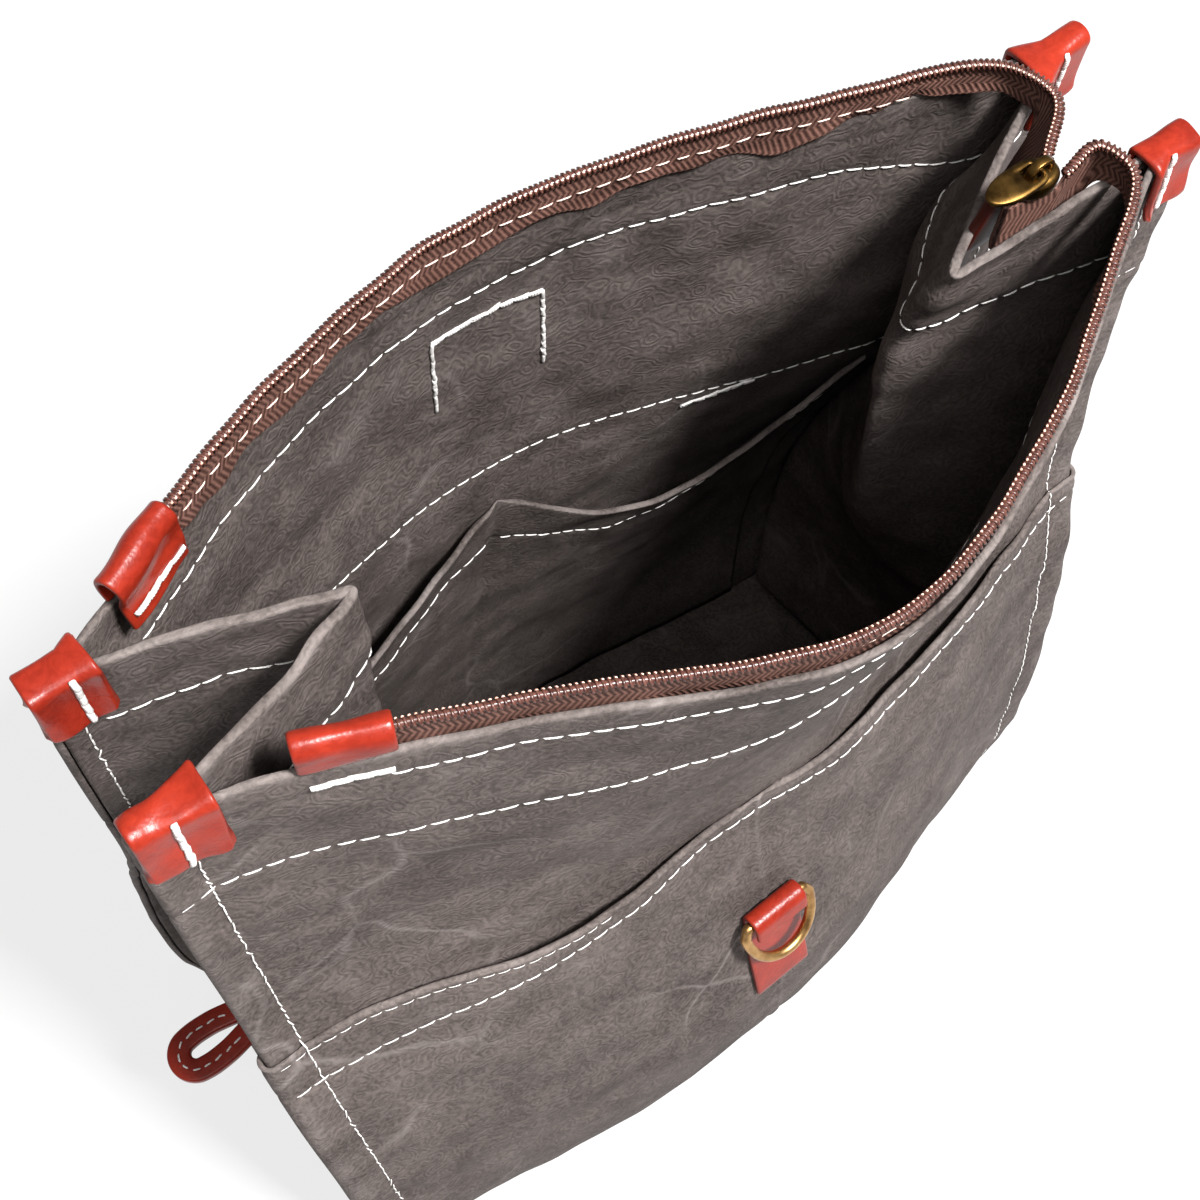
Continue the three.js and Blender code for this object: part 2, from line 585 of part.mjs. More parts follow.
// Zip slider: a body that narrows towards its tail, with a bridge on top for the pull.
const sliderTop = RIM_Z + TAPE_STAND + 1.2;
const bodyShape = new THREE.Shape()
  .moveTo(SLIDER.length / 2, -SLIDER.wide / 2)
  .lineTo(SLIDER.length / 2, SLIDER.wide / 2)
  .quadraticCurveTo(0, SLIDER.wide / 2, -SLIDER.length / 2, SLIDER.narrow / 2)
  .lineTo(-SLIDER.length / 2, -SLIDER.narrow / 2)
  .quadraticCurveTo(0, -SLIDER.wide / 2, SLIDER.length / 2, -SLIDER.wide / 2);
const body = new THREE.ExtrudeGeometry(bodyShape, {
  depth: SLIDER.thick,
  bevelEnabled: false,
  curveSegments: 5,
});
const halfBridge = BRIDGE.length / 2;
const bridgeShape = new THREE.Shape()
  .moveTo(-halfBridge, -1)
  .lineTo(-halfBridge, BRIDGE.height - BRIDGE.bar)
  .quadraticCurveTo(-halfBridge, BRIDGE.height, -halfBridge + BRIDGE.bar, BRIDGE.height)
  .lineTo(halfBridge - BRIDGE.bar, BRIDGE.height)
  .quadraticCurveTo(halfBridge, BRIDGE.height, halfBridge, BRIDGE.height - BRIDGE.bar)
  .lineTo(halfBridge, -1)
  .lineTo(halfBridge - BRIDGE.bar, -1)
  .lineTo(halfBridge - BRIDGE.bar, BRIDGE.height - BRIDGE.bar)
  .lineTo(-halfBridge + BRIDGE.bar, BRIDGE.height - BRIDGE.bar)
  .lineTo(-halfBridge + BRIDGE.bar, -1);
const bridge = new THREE.ExtrudeGeometry(bridgeShape, {
  depth: BRIDGE.width,
  bevelEnabled: false,
  curveSegments: 4,
});
const upright = new THREE.Matrix4()
  .makeRotationX(Math.PI / 2)
  .setPosition(SLIDER.x, SLIDER.y + BRIDGE.width / 2, sliderTop);
const seated = new THREE.Matrix4().makeTranslation(SLIDER.x, SLIDER.y, sliderTop - SLIDER.thick);
const sliderSolid = manifoldOf(body, seated).add(manifoldOf(bridge, upright)).getMesh();
const sliderGeometry = new THREE.BufferGeometry();
const sliderPoints = new THREE.BufferAttribute(sliderSolid.vertProperties, sliderSolid.numProp);
sliderGeometry.setAttribute('position', sliderPoints);
sliderGeometry.setIndex(new THREE.BufferAttribute(sliderSolid.triVerts, 1));
addPiece('zip_slider', sliderGeometry, 'brass');

// Zip pull: a rounded plate whose eye goes round the bridge. It lies back over the tail.
const halfPull = PULL.width / 2;
const pullShape = new THREE.Shape()
  .moveTo(PULL.eye_wall, -halfPull + 1)
  .lineTo(PULL.eye_wall, halfPull - 1)
  .lineTo(PULL.eye_wall - 1, halfPull)
  .lineTo(-PULL.length + halfPull, halfPull)
  .absarc(-PULL.length + halfPull, 0, halfPull, Math.PI / 2, 1.5 * Math.PI, false)
  .lineTo(PULL.eye_wall - 1, -halfPull);
pullShape.holes.push(new THREE.Path()
  .moveTo(0, -PULL.eye_width / 2)
  .lineTo(-PULL.eye_length, -PULL.eye_width / 2)
  .lineTo(-PULL.eye_length, PULL.eye_width / 2)
  .lineTo(0, PULL.eye_width / 2));
const pull = new THREE.ExtrudeGeometry(pullShape, {
  depth: PULL.thick,
  bevelEnabled: false,
  curveSegments: 8,
});
const pullZ = sliderTop + (BRIDGE.height - BRIDGE.bar - PULL.thick) / 2;
pull.translate(SLIDER.x - PULL.eye_wall / 2, SLIDER.y, pullZ);
addPiece('zip_pull', pull, 'brass');

// Zip end tab: leather that closes the zip's tail, hanging in the right gusset's fold.
const endShape = new THREE.Shape()
  .moveTo(-END_TAB.width / 2, 0)
  .lineTo(END_TAB.width / 2, 0)
  .lineTo(END_TAB.width / 2, -END_TAB.drop + 4)
  .absarc(END_TAB.width / 2 - 4, -END_TAB.drop + 4, 4, 0, -Math.PI / 2, true)
  .lineTo(-END_TAB.width / 2 + 4, -END_TAB.drop)
  .absarc(-END_TAB.width / 2 + 4, -END_TAB.drop + 4, 4, -Math.PI / 2, -Math.PI, true);
const endTab = new THREE.ExtrudeGeometry(endShape, {
  depth: END_TAB.thick,
  bevelEnabled: false,
  curveSegments: 4,
});
endTab.translate(0, 0, -END_TAB.thick / 2);
endTab.rotateX(Math.PI / 2 + THREE.MathUtils.degToRad(END_TAB.lean));
endTab.translate(SLIDER.x, END_TAB.y, sliderTop - SLIDER.thick - 2 * GAP);
addPiece('zip_end_tab', endTab, 'leather');

export default bag;
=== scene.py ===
# %% [markdown]
# # A courier backpack in waxed canvas
# This lesson dresses the plain solids of a backpack. Every soft solid is replaced by a finer surface that is worked
# out with numpy, and every surface gets a finish made of nodes. We start by loading the solids, because each new
# piece rides on one of their bodies and stays close to their box.

# %% Load the frame
import bpy
import numpy as np
from mathutils import Matrix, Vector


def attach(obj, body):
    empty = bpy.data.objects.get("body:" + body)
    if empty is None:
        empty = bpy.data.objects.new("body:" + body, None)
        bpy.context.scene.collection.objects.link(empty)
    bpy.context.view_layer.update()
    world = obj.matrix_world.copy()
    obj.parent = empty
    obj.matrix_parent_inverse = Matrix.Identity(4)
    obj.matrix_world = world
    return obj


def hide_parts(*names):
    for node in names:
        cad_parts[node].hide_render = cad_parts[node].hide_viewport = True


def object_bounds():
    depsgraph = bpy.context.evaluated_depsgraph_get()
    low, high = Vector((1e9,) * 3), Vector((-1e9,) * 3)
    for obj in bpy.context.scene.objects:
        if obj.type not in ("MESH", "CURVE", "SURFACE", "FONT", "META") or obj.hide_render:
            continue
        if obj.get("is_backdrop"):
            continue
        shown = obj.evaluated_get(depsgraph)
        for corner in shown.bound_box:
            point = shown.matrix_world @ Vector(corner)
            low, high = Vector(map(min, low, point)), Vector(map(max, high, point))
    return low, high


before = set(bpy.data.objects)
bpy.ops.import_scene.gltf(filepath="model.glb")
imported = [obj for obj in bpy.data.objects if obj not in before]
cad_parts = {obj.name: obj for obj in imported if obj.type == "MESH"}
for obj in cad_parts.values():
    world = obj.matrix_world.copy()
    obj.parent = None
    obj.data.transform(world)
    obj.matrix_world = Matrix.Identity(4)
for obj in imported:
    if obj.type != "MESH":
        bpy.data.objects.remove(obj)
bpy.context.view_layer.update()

MM = 0.001

# %% [markdown]
# ## Camera
# The photo looks down into the open bag from above its front left corner. A camera can be aimed by hand, but here its
# place and angles are known, so we write its matrix: the columns are its right, its up, its backward direction and
# its place.

# %% Camera
EYE = np.array([-159.3, -170.7, 779.0]) * MM
YAW, PITCH, ROLL = np.radians([40.53, 65.19, 3.63])
FRAME_PX = 1200
FOCAL_PX = 1810.8
SENSOR_MM = 36

forward = np.array([np.sin(YAW) * np.cos(PITCH), np.cos(YAW) * np.cos(PITCH), -np.sin(PITCH)])
level_right = np.array([np.cos(YAW), -np.sin(YAW), 0])
level_up = np.cross(level_right, forward)
right = level_right * np.cos(ROLL) + level_up * np.sin(ROLL)
up = level_up * np.cos(ROLL) - level_right * np.sin(ROLL)

lens = bpy.data.cameras.new("camera")
lens.sensor_width = SENSOR_MM
lens.lens = FOCAL_PX / FRAME_PX * SENSOR_MM
lens.clip_start = 0.02
camera = bpy.data.objects.new("camera", lens)
camera.matrix_world = Matrix(np.vstack([np.column_stack([right, up, -forward, EYE]), [0, 0, 0, 1]]).tolist())
bpy.context.scene.collection.objects.link(camera)
bpy.context.scene.camera = camera
print(f"lens {lens.lens:.1f} mm")

# %% [markdown]
# ## Shader maths
# A finish is a net of nodes, and long nets are hard to read. We wrap a node's output in a small class whose +, - and
# * add Math nodes, so that a formula for wear reads like arithmetic. One method makes any other node.


# %% Shader maths
class Wire:
    """An output of a node. Arithmetic on wires adds Math nodes, and node() adds any other kind."""

    def __init__(self, tree, socket=None):
        self.tree = tree
        self.socket = socket

    def node(self, kind, settings=(), sockets=(), output=0):
        """Makes a node: its settings first, then the values or links of its sockets."""
        made = self.tree.nodes.new(kind)
        for key, value in dict(settings).items():
            setattr(made, key, value)
        for key, value in dict(sockets).items():
            if isinstance(value, Wire):
                self.tree.links.new(value.socket, made.inputs[key])
            else:
                made.inputs[key].default_value = value
        return Wire(self.tree, made.outputs[output] if made.outputs else None)

    def math(self, operation, *values):
        """A Math node."""
        return self.node("ShaderNodeMath", {"operation": operation}, dict(enumerate(values)))

    def __add__(self, other):
        return self.math("ADD", self, other)

    def __rsub__(self, other):
        return self.math("SUBTRACT", other, self)

    def __mul__(self, other):
        return self.math("MULTIPLY", self, other)

    __radd__ = __add__
    __rmul__ = __mul__

    def sine(self):
        """Sine of this wire, moved to lie between 0 and 1."""
        return self.math("SINE", self) * 0.5 + 0.5

    def between(self, low, high):
        """0 below low, 1 above high, and a smooth step in between."""
        settings = {"interpolation_type": "SMOOTHSTEP"}
        return self.node("ShaderNodeMapRange", settings, {"Value": self, "From Min": low, "From Max": high})

    def mix(self, *colours):
        """Colour that goes from the first of two to the second as this wire goes from 0 to 1."""
        first, second = (colour if isinstance(colour, Wire) else (*colour, 1) for colour in colours)
        sockets = {"Factor": self, 6: first, 7: second}
        return self.node("ShaderNodeMix", {"data_type": "RGBA"}, sockets, 2)

    def stretched(self, scale, turn=0.0):
        """This vector wire with each axis scaled, and then turned about Z."""
        sockets = {"Vector": self, "Scale": scale, "Rotation": (0, 0, turn)}
        return self.node("ShaderNodeMapping", {}, sockets)

    def noise(self, scale, detail=3.0, roughness=0.55, distortion=0.0):
        """Cloudy values near 0.5, with scale clouds to a metre."""
        sockets = {"Vector": self, "Scale": scale, "Detail": detail, "Roughness": roughness, "Distortion": distortion}
        return self.node("ShaderNodeTexNoise", {}, sockets)

    def waves(self, scale, distortion=0.0, direction="X"):
        """Sine stripes, about 3.2 times scale of them to a metre."""
        settings = {"bands_direction": direction}
        return self.node("ShaderNodeTexWave", settings, {"Vector": self, "Scale": scale, "Distortion": distortion})

    def cracks(self, scale):
        """Distance to the nearest border between random cells, scale cells to a metre."""
        settings = {"feature": "DISTANCE_TO_EDGE"}
        return self.node("ShaderNodeTexVoronoi", settings, {"Vector": self, "Scale": scale})

    def wear(self):
        """The wear value of each point."""
        return self.node("ShaderNodeAttribute", {"attribute_name": "wear"}, output=2)

    def bump(self, strength, distance):
        """Normals of a surface that this wire raises."""
        return self.node("ShaderNodeBump", {}, {"Height": self, "Strength": strength, "Distance": distance})


def finish(name, recipe, *colours):
    """A material. Its recipe gets wires for place and for flat coordinates, in metres, and returns shader sockets."""
    material = bpy.data.materials.new(name)
    material.use_nodes = True
    material.node_tree.nodes.clear()
    start = Wire(material.node_tree)
    place = start.node("ShaderNodeTexCoord", output=3)
    flat = start.node("ShaderNodeUVMap", {"uv_map": "UVMap"})
    shader = start.node("ShaderNodeBsdfPrincipled", {}, recipe(place, flat, *colours))
    start.node("ShaderNodeOutputMaterial", {}, {"Surface": shader})
    print("made", name)
    return material


print("wires ready")

# %% [markdown]
# ## Waxed canvas
# Waxed cotton is a plain weave that is soaked in wax. Where the cloth has been folded the wax cracks and turns pale,
# so the grey is crossed by thin light lines and soft scuffs. An image could carry them, but noise and cell borders
# give them at any size. The weave follows the cloth's own flat coordinates, and the wear follows its place.


# %% Waxed canvas
def canvas(place, flat, dark, light, pale):
    """Swirls and grain between two greys, with a third, paler one where the wax is cracked, scuffed or worn."""
    clouds = place.noise(8.0, 3.0)
    mottle = place.noise(55.0, 4.0, 0.6)
    grain = place.noise(800.0, 2.0, 0.7)
    threads = (place.noise(115.0, 1.0) * 52).sine()
    shift = place.node("ShaderNodeTexNoise", {}, {"Vector": place, "Scale": 15.0, "Detail": 2.0}, 1)
    sockets = {0: shift, 1: (0.07, 0.07, 0.07), 2: place}
    warped = place.node("ShaderNodeVectorMath", {"operation": "MULTIPLY_ADD"}, sockets)
    cracks = 1 - warped.cracks(15.0).between(0.0, 0.03)
    creased = cracks * place.noise(13.0, 2.0).between(0.5, 0.68)
    scuffs = place.stretched((34, 10, 34), 0.7).noise(1.0, 5.0, 0.68).between(0.55, 0.78)
    worn = place.wear() * mottle.between(0.32, 0.62)
    weave = flat.waves(1100.0, 0.4) * flat.waves(1100.0, 0.4, "Y")
    soft = clouds.between(0.3, 0.7) * 0.22 + mottle.between(0.3, 0.7) * 0.28
    shade = soft + threads * mottle * 0.5 + grain.between(0.34, 0.66) * 0.36
    marks = creased * 0.3 + scuffs * 0.26 + worn * 0.26
    return {
        "Base Color": marks.math("MINIMUM", marks, 0.8).mix(shade.mix(dark, light), pale),
        "Roughness": 0.5 + grain * 0.16 + marks * 0.2,
        "Specular IOR Level": 0.04,
        "Normal": (grain * 0.5 + weave * 0.2 + threads * 0.4).bump(0.5, 0.0007),
    }


CANVAS_FINISH = finish(
    "waxed_canvas", canvas, (0.0305, 0.0245, 0.0222), (0.122, 0.0995, 0.092), (0.245, 0.216, 0.205)
)

# %% [markdown]
# ## Leather, thread, zip and brass
# The tabs are smooth vegetable leather dyed orange-red. Its pores are small cells, and its cut edges are
# darker. The thread is waxed and nearly white, twisted along its length. The zip has a brown herringbone tape under a
# glossy coil, and the fittings are brass that has gone brown in its hollows.

# %% Leather
LEATHER_EDGE = (0.13, 0.02, 0.012)


def leather(place, flat, dark, light):
    """Clouds and fine wrinkles between two reds, over pores, and a brown where the wear value is high."""
    clouds = place.noise(38.0, 4.0, 0.6)
    pores = place.node("ShaderNodeTexVoronoi", {}, {"Vector": place, "Scale": 900.0})
    wrinkles = place.noise(260.0, 4.0, 0.6, 1.2)
    wear = place.wear()
    shade = clouds.between(0.28, 0.72) * 0.7 + wrinkles.between(0.35, 0.65) * 0.3
    return {
        "Base Color": (wear * 0.75).mix(shade.mix(dark, light), LEATHER_EDGE),
        "Roughness": 0.24 + wrinkles * 0.16 + wear * 0.2,
        "Specular IOR Level": 0.2,
        "Normal": (wrinkles * 0.7 + pores * 0.35).bump(0.3, 0.0004),
    }


LEATHER_FINISH = finish("orange_red_leather", leather, (0.13, 0.009, 0.0042), (0.245, 0.020, 0.0085))
# Painted shade: a much darker copy of the red leather, for the zip's end tab in the shade of the fold.
PAINTED_SHADE_LEATHER_FINISH = finish("painted_shade_red_leather", leather, (0.022, 0.004, 0.0025), (0.055, 0.009, 0.005))


# %% Thread
def thread(place, flat, dark, light):
    """Slanted stripes for the twist, under cloudy soil."""
    twist = flat.stretched((1, 1, 1), 0.6).waves(420.0)
    soil = place.noise(180.0, 3.0)
    return {
        "Base Color": (soil.between(0.25, 0.75) * 0.6 + twist * 0.4).mix(dark, light),
        "Roughness": 0.55 + soil * 0.2,
        "Normal": twist.bump(0.5, 0.0002),
    }


THREAD_FINISH = finish("off_white_thread", thread, (0.42, 0.40, 0.38), (0.72, 0.70, 0.68))
ZIP_THREAD_FINISH = finish("pale_brown_thread", thread, (0.42, 0.29, 0.24), (0.74, 0.58, 0.51))


# %% Zip tape and coil
def zip_tape(place, flat, dark, light):
    """Herringbone: slanted stripes whose slant turns over in each narrow band along the tape."""
    along, across = (place.node("ShaderNodeSeparateXYZ", {}, {"Vector": flat}, axis) for axis in (0, 1))
    zigzag = place.math("PINGPONG", across * 250, 1.0)
    rib = (along * 3600 + zigzag * 7.0).sine()
    fuzz = place.noise(900.0, 3.0, 0.7)
    return {
        "Base Color": (rib * 0.7 + fuzz.between(0.3, 0.7) * 0.3).mix(dark, light),
        "Roughness": 0.62 + fuzz * 0.2,
        "Specular IOR Level": 0.15,
        "Normal": (rib * 0.8 + fuzz * 0.3).bump(0.6, 0.0004),
    }


def gloss(place, flat, dark, light):
    """Glossy plastic with faint streaks."""
    streaks = place.noise(700.0, 2.0)
    return {
        "Base Color": streaks.between(0.3, 0.7).mix(dark, light),
        "Roughness": 0.22 + streaks * 0.15,
        "Specular IOR Level": 0.35,
        "Normal": streaks.bump(0.15, 0.0002),
    }


TAPE_FINISH = finish("zip_tape_weave", zip_tape, (0.026, 0.010, 0.0075), (0.165, 0.082, 0.063))
COIL_FINISH = finish("zip_coil_gloss", gloss, (0.035, 0.012, 0.009), (0.095, 0.038, 0.028))
# Painted highlight: the pale bead finish stands in for the glints of the lamp on the glossy coil's turns.
HIGHLIGHT_BEAD_FINISH = finish("zip_painted_highlight_gloss", gloss, (0.50, 0.27, 0.20), (0.78, 0.52, 0.42))


# %% Brass and webbing
def brass(place, flat, dark, light):
    """Metal whose clouds of tarnish change its colour and its roughness, with fine scratches one way."""
    tarnish = place.noise(170.0, 4.0, 0.6)
    scratches = place.stretched((1, 14, 1), 0.4).noise(700.0, 2.0)
    return {
        "Base Color": tarnish.between(0.25, 0.72).mix(dark, light),
        "Metallic": 1.0,
        "Roughness": 0.20 + tarnish * 0.18 + scratches * 0.1,
        "Normal": (scratches + tarnish).bump(0.12, 0.0002),
    }


def webbing(place, flat, dark, light):
    """Basket weave: raised squares where the two stripe patterns are both high or both low."""
    warp = flat.waves(190.0)
    weft = flat.waves(260.0, 0.0, "Y")
    check = warp * weft + (1 - warp) * (1 - weft)
    fuzz = place.noise(800.0, 3.0, 0.7)
    return {
        "Base Color": (check * 0.6 + fuzz * 0.4).mix(dark, light),
        "Roughness": 0.72 + fuzz * 0.15,
        "Sheen Weight": 0.2,
        "Normal": (check + fuzz * 0.3).bump(0.6, 0.0006),
    }


BRASS_FINISH = finish("old_brass", brass, (0.27, 0.135, 0.045), (0.56, 0.34, 0.14))
# Painted shade: a darker copy of the brass for the slider, its bridge and the pull, which sit in the shade of the
# fold.
PAINTED_SHADE_BRASS_FINISH = finish("painted_shade_brass", brass, (0.05, 0.027, 0.008), (0.20, 0.11, 0.03))
WEBBING_FINISH = finish("woven_webbing", webbing, (0.045, 0.039, 0.038), (0.135, 0.120, 0.115))

# %% [markdown]
# ## From arrays to meshes
# Each shape is a grid of points, so one helper can turn any of them into a mesh. It joins neighbouring points into
# four-sided faces, adds the flat coordinates that the weave needs and a wear value for each point, and lets the new
# piece ride on a body. Cloth could be a flat sheet with a Solidify modifier. Here both of its faces are worked out, so
# that a hem can be thicker than the cloth below it and every rim is round.


# %% Grids and pieces
def joined(*parts):
    """Arrays of one shape, or stretched to it, side by side in a new last axis."""
    return np.stack(np.broadcast_arrays(*parts), -1)


def grid_faces(rows, columns, wrap_rows=False, wrap_columns=False):
    """Four-sided faces between neighbours of a grid, which may close on itself in either direction."""
    r = np.arange(rows if wrap_rows else rows - 1)[:, None]
    c = np.arange(columns if wrap_columns else columns - 1)[None, :]
    r_next = (r + 1) % rows
    c_next = (c + 1) % columns
    corners = [r * columns + c, r * columns + c_next, r_next * columns + c_next, r_next * columns + c]
    return joined(*corners).reshape(-1, 4)


def shell_faces(lines, size):
    """Faces of a tube with size points round it, and strips between opposite points that close both its ends."""
    i = np.arange(size // 2 - 1)
    first = joined(i, size - 1 - i, size - 2 - i, i + 1)
    last = joined(i, i + 1, size - 2 - i, size - 1 - i) + (lines - 1) * size
    return np.concatenate([grid_faces(lines, size, wrap_columns=True), first, last])


def volume_of(points, faces):
    """Six times the volume inside a closed mesh, negative where its faces point inwards."""
    a, b, c, d = (points[faces[:, k]] for k in range(4))
    return np.sum(np.cross(a, b) * c) + np.sum(np.cross(a, c) * d)


def piece(name, points, material, flat=None, wear=0.0, stands_for=(), body="bag", faces=None):
    """Puts points in millimetres into a closed mesh that rides on a body. Without faces, a grid becomes a shell."""
    if faces is None:
        faces = shell_faces(*points.shape[:2])
    points = points.reshape(-1, 3)
    if volume_of(points, faces) < 0:
        faces = faces[:, ::-1]
    mesh = bpy.data.meshes.new(name)
    mesh.vertices.add(len(points))
    mesh.vertices.foreach_set("co", (points * MM).ravel())
    mesh.loops.add(faces.size)
    mesh.loops.foreach_set("vertex_index", faces.ravel().astype(np.int32))
    mesh.polygons.add(len(faces))
    mesh.polygons.foreach_set("loop_start", np.arange(0, faces.size, 4, dtype=np.int32))
    mesh.update(calc_edges=True)
    mesh.polygons.foreach_set("use_smooth", np.ones(len(faces), bool))
    flat = points[:, :2] if flat is None else flat.reshape(-1, 2)
    mesh.uv_layers.new(name="UVMap").data.foreach_set("uv", (flat[faces.ravel()] * MM).ravel())
    values = np.broadcast_to(np.asarray(wear, float).ravel(), len(points))
    mesh.attributes.new("wear", "FLOAT", "POINT").data.foreach_set("value", values)
    mesh.materials.append(material)
    made = bpy.data.objects.new(name, mesh)
    bpy.context.scene.collection.objects.link(made)
    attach(made, body)
    if stands_for:
        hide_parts(*stands_for)
    print(f"{name}: {len(points)} points, {len(faces)} faces")
    return made


# %% Small formulas
def unit(vectors):
    """Vectors of length 1 in the same directions."""
    return vectors / np.maximum(np.linalg.norm(vectors, axis=-1, keepdims=True), 1e-9)


def bell(distance, width):
    """1 at no distance, falling on both sides in a bell curve."""
    return np.exp(-(distance / width) ** 2)


def circle(count):
    """Angles at even steps all round."""
    return np.linspace(0, 2 * np.pi, count, endpoint=False)


def cubic(a, b, slope_a, slope_b, t):
    """A cubic from a at t = 0 to b at t = 1 with given slopes at both."""
    rise = b - a
    return a + t * (slope_a + t * (3 * rise - 2 * slope_a - slope_b + t * (slope_a + slope_b - 2 * rise)))


def turned_left(vectors):
    """Level vectors turned left by a right angle, seen from above."""
    return joined(-vectors[..., 1], vectors[..., 0], 0.0)


def run_along(path):
    """Length along a path up to each of its points."""
    return np.concatenate([[0], np.linalg.norm(np.diff(path, axis=0), axis=1).cumsum()])


def read_at(at, places, values):
    """The columns of values, which are known at places, read in between on straight lines."""
    return np.stack([np.interp(at, places, column) for column in values.T], -1)


def step(value, low, high):
    """0 below low, 1 above high, and a smooth step in between."""
    t = np.clip((value - low) / (high - low), 0, 1)
    return t * t * (3 - 2 * t)


RIPPLE_WAVES = 14
RIM_POINTS = 8
CAP_POINTS = 6
CUT_EDGE = 0.8


def ripple(seed, a, b, shortest, longest):
    """Soft random relief between about -1 and 1: a sum of cosines with random directions and lengths."""
    draw = np.random.default_rng(seed)
    angle = draw.uniform(0, 2 * np.pi, RIPPLE_WAVES)
    reach = 2 * np.pi / draw.uniform(shortest, longest, RIPPLE_WAVES)
    start = draw.uniform(0, 2 * np.pi, RIPPLE_WAVES)
    turn = a[..., None] * np.cos(angle) * reach + b[..., None] * np.sin(angle) * reach + start
    return np.cos(turn).sum(-1) * 1.4 / np.sqrt(RIPPLE_WAVES)


def wall_section(rows, low, top, outer, inner):
    """A wall's section: up its outer face, over the rim in a half circle and down its inner face.

    rows go from 0 at the foot to 1 at the rim. outer and inner give each face's distance at a height. Returns
    heights and distances, with one line for each column that low, top, outer or inner vary by.
    """
    half = (outer(top) - inner(top)) / 2
    face = low + rows * (top - half - low)
    a = np.linspace(0, np.pi, RIM_POINTS + 2)[1:-1]
    rim = top - half + half * np.sin(a)
    across = (outer(top) + inner(top)) / 2 + half * np.cos(a)
    heights = np.concatenate([face, rim, face[:, ::-1]], 1)
    return heights, np.concatenate([outer(face), across, inner(face)[:, ::-1]], 1)


def strip_shell(middle, normal, thick):
    """A strip with round ends: half a thickness on both sides of a grid of stations by points along the strip."""
    ahead = unit(np.gradient(middle, axis=1))
    half = np.reshape(thick, (-1, 1, 1)) / 2
    a = np.linspace(np.pi / 2, -np.pi / 2, CAP_POINTS + 2)[1:-1][:, None]
    end = middle[:, -1:] + half * (np.cos(a) * ahead[:, -1:] + np.sin(a) * normal[:, -1:])
    start = middle[:, :1] - half * (np.cos(a) * ahead[:, :1] + np.sin(a) * normal[:, :1])
    first, second = start[:, CAP_POINTS // 2:], start[:, :CAP_POINTS // 2]
    return np.concatenate([first, middle + normal * half, end, (middle - normal * half)[:, ::-1], second], 1)


def cut_edges(length, count):
    """Stations across a strip, close together at both cut edges, and its share of the full thickness at each."""
    rounding = CUT_EDGE * np.array([0, 0.06, 0.25, 0.6])
    stations = np.concatenate([rounding, np.linspace(CUT_EDGE, length - CUT_EDGE, count), length - rounding[::-1]])
    near = np.clip(np.minimum(stations, length - stations) / CUT_EDGE, 0, 1)
    return stations, np.sqrt(1 - 0.8 * (1 - near) ** 2)


def grid_normals(points):
    """Unit normals of a grid of points."""
    return unit(np.cross(np.gradient(points, axis=0), np.gradient(points, axis=1)))


# %% [markdown]
# ## The body's shape
# The bag is a paper-bag fold: two big panels, and side walls that fold in between them. Its levels are a short table,
# one row for each height, and a smooth curve goes through the rows. The panels, the gussets, the pockets and every
# seam read the same table, so all layers stay on each other. Small creases are added to the panels here, once, for
# the same reason.

# %% Levels
CANVAS = 1.8
GAP = 0.35
FLANGE = 11
RIM_Z = 400
POCKET_Z = 235
COLUMNS = ("z half shift turn front_y front_bow front_sag front_skew back_y back_bow back_sag back_skew "
           "fold_left fold_right soft").split()
LEVELS = np.array([
    [0, 146, -3, 2.5, 68, 20, 0, 1, 64, 22, 0, 1, -4, -4, 0.85],
    [50, 153, -4, 3, 75, 25, 0, 1, 69, 22, 0, 1, -14, -8, 0.85],
    [110, 154, -4, 2.5, 69, 30, 0, 1, 67, 20, 0, 1, -12, 6, 0.7],
    [150, 154, -3, 2, 62, 25, 0, 1, 61, 21, 0, 1, 14, 28, 0.45],
    [190, 154, -2, 1.2, 53, 22, 0, 1, 52, 26, 0, 1, 44, 46, 0.26],
    [230, 153.5, -1, 0.6, 41, 24, 0, 1.02, 40, 34, 0, 0.97, 57, 57, 0.2],
    [270, 153.2, 0, 0, 32, 33, -1, 1.06, 31, 41, -1, 0.93, 63, 63, 0.16],
    [330, 152.5, 0, 0, 26, 47, -5, 1.14, 26, 46, -2, 0.88, 67, 67, 0.13],
    [RIM_Z, 151, 0, 0, 23.5, 60, -12, 1.2, 22.5, 44, -4, 0.85, 66, 66, 0.12],
])
RIGHT_FOLD_PULL = 15
RIGHT_FOLD_PULL_DEPTH = 90
RIM_HALF = LEVELS[-1, 1]


def level_at(height):
    """Every column at each height: a cubic through the rows whose slopes are those of the neighbouring rows."""
    rows = LEVELS[:, 0]
    z = np.clip(np.asarray(height, float), 0, RIM_Z)
    end = len(rows) - 1
    row = np.clip(np.searchsorted(rows, z) - 1, 0, end - 1)
    a, b = LEVELS[row], LEVELS[row + 1]
    before, after = LEVELS[np.maximum(row - 1, 0)], LEVELS[np.minimum(row + 2, end)]
    tall = (b[..., 0] - a[..., 0])[..., None]
    t = (z - a[..., 0])[..., None] / tall
    slope_a = (b - before) / (b[..., :1] - before[..., :1]) * tall
    slope_b = (after - a) / (after[..., :1] - a[..., :1]) * tall
    return dict(zip(COLUMNS, np.moveaxis(cubic(a, b, slope_a, slope_b, t), -1, 0)))


def placed(level, x, y, z):
    """A point of a level, carried by the body's twist and lean."""
    turn = np.radians(level["turn"])
    cosine, sine = np.cos(turn), np.sin(turn)
    return joined(x * cosine - y * sine + level["shift"], x * sine + y * cosine, z)


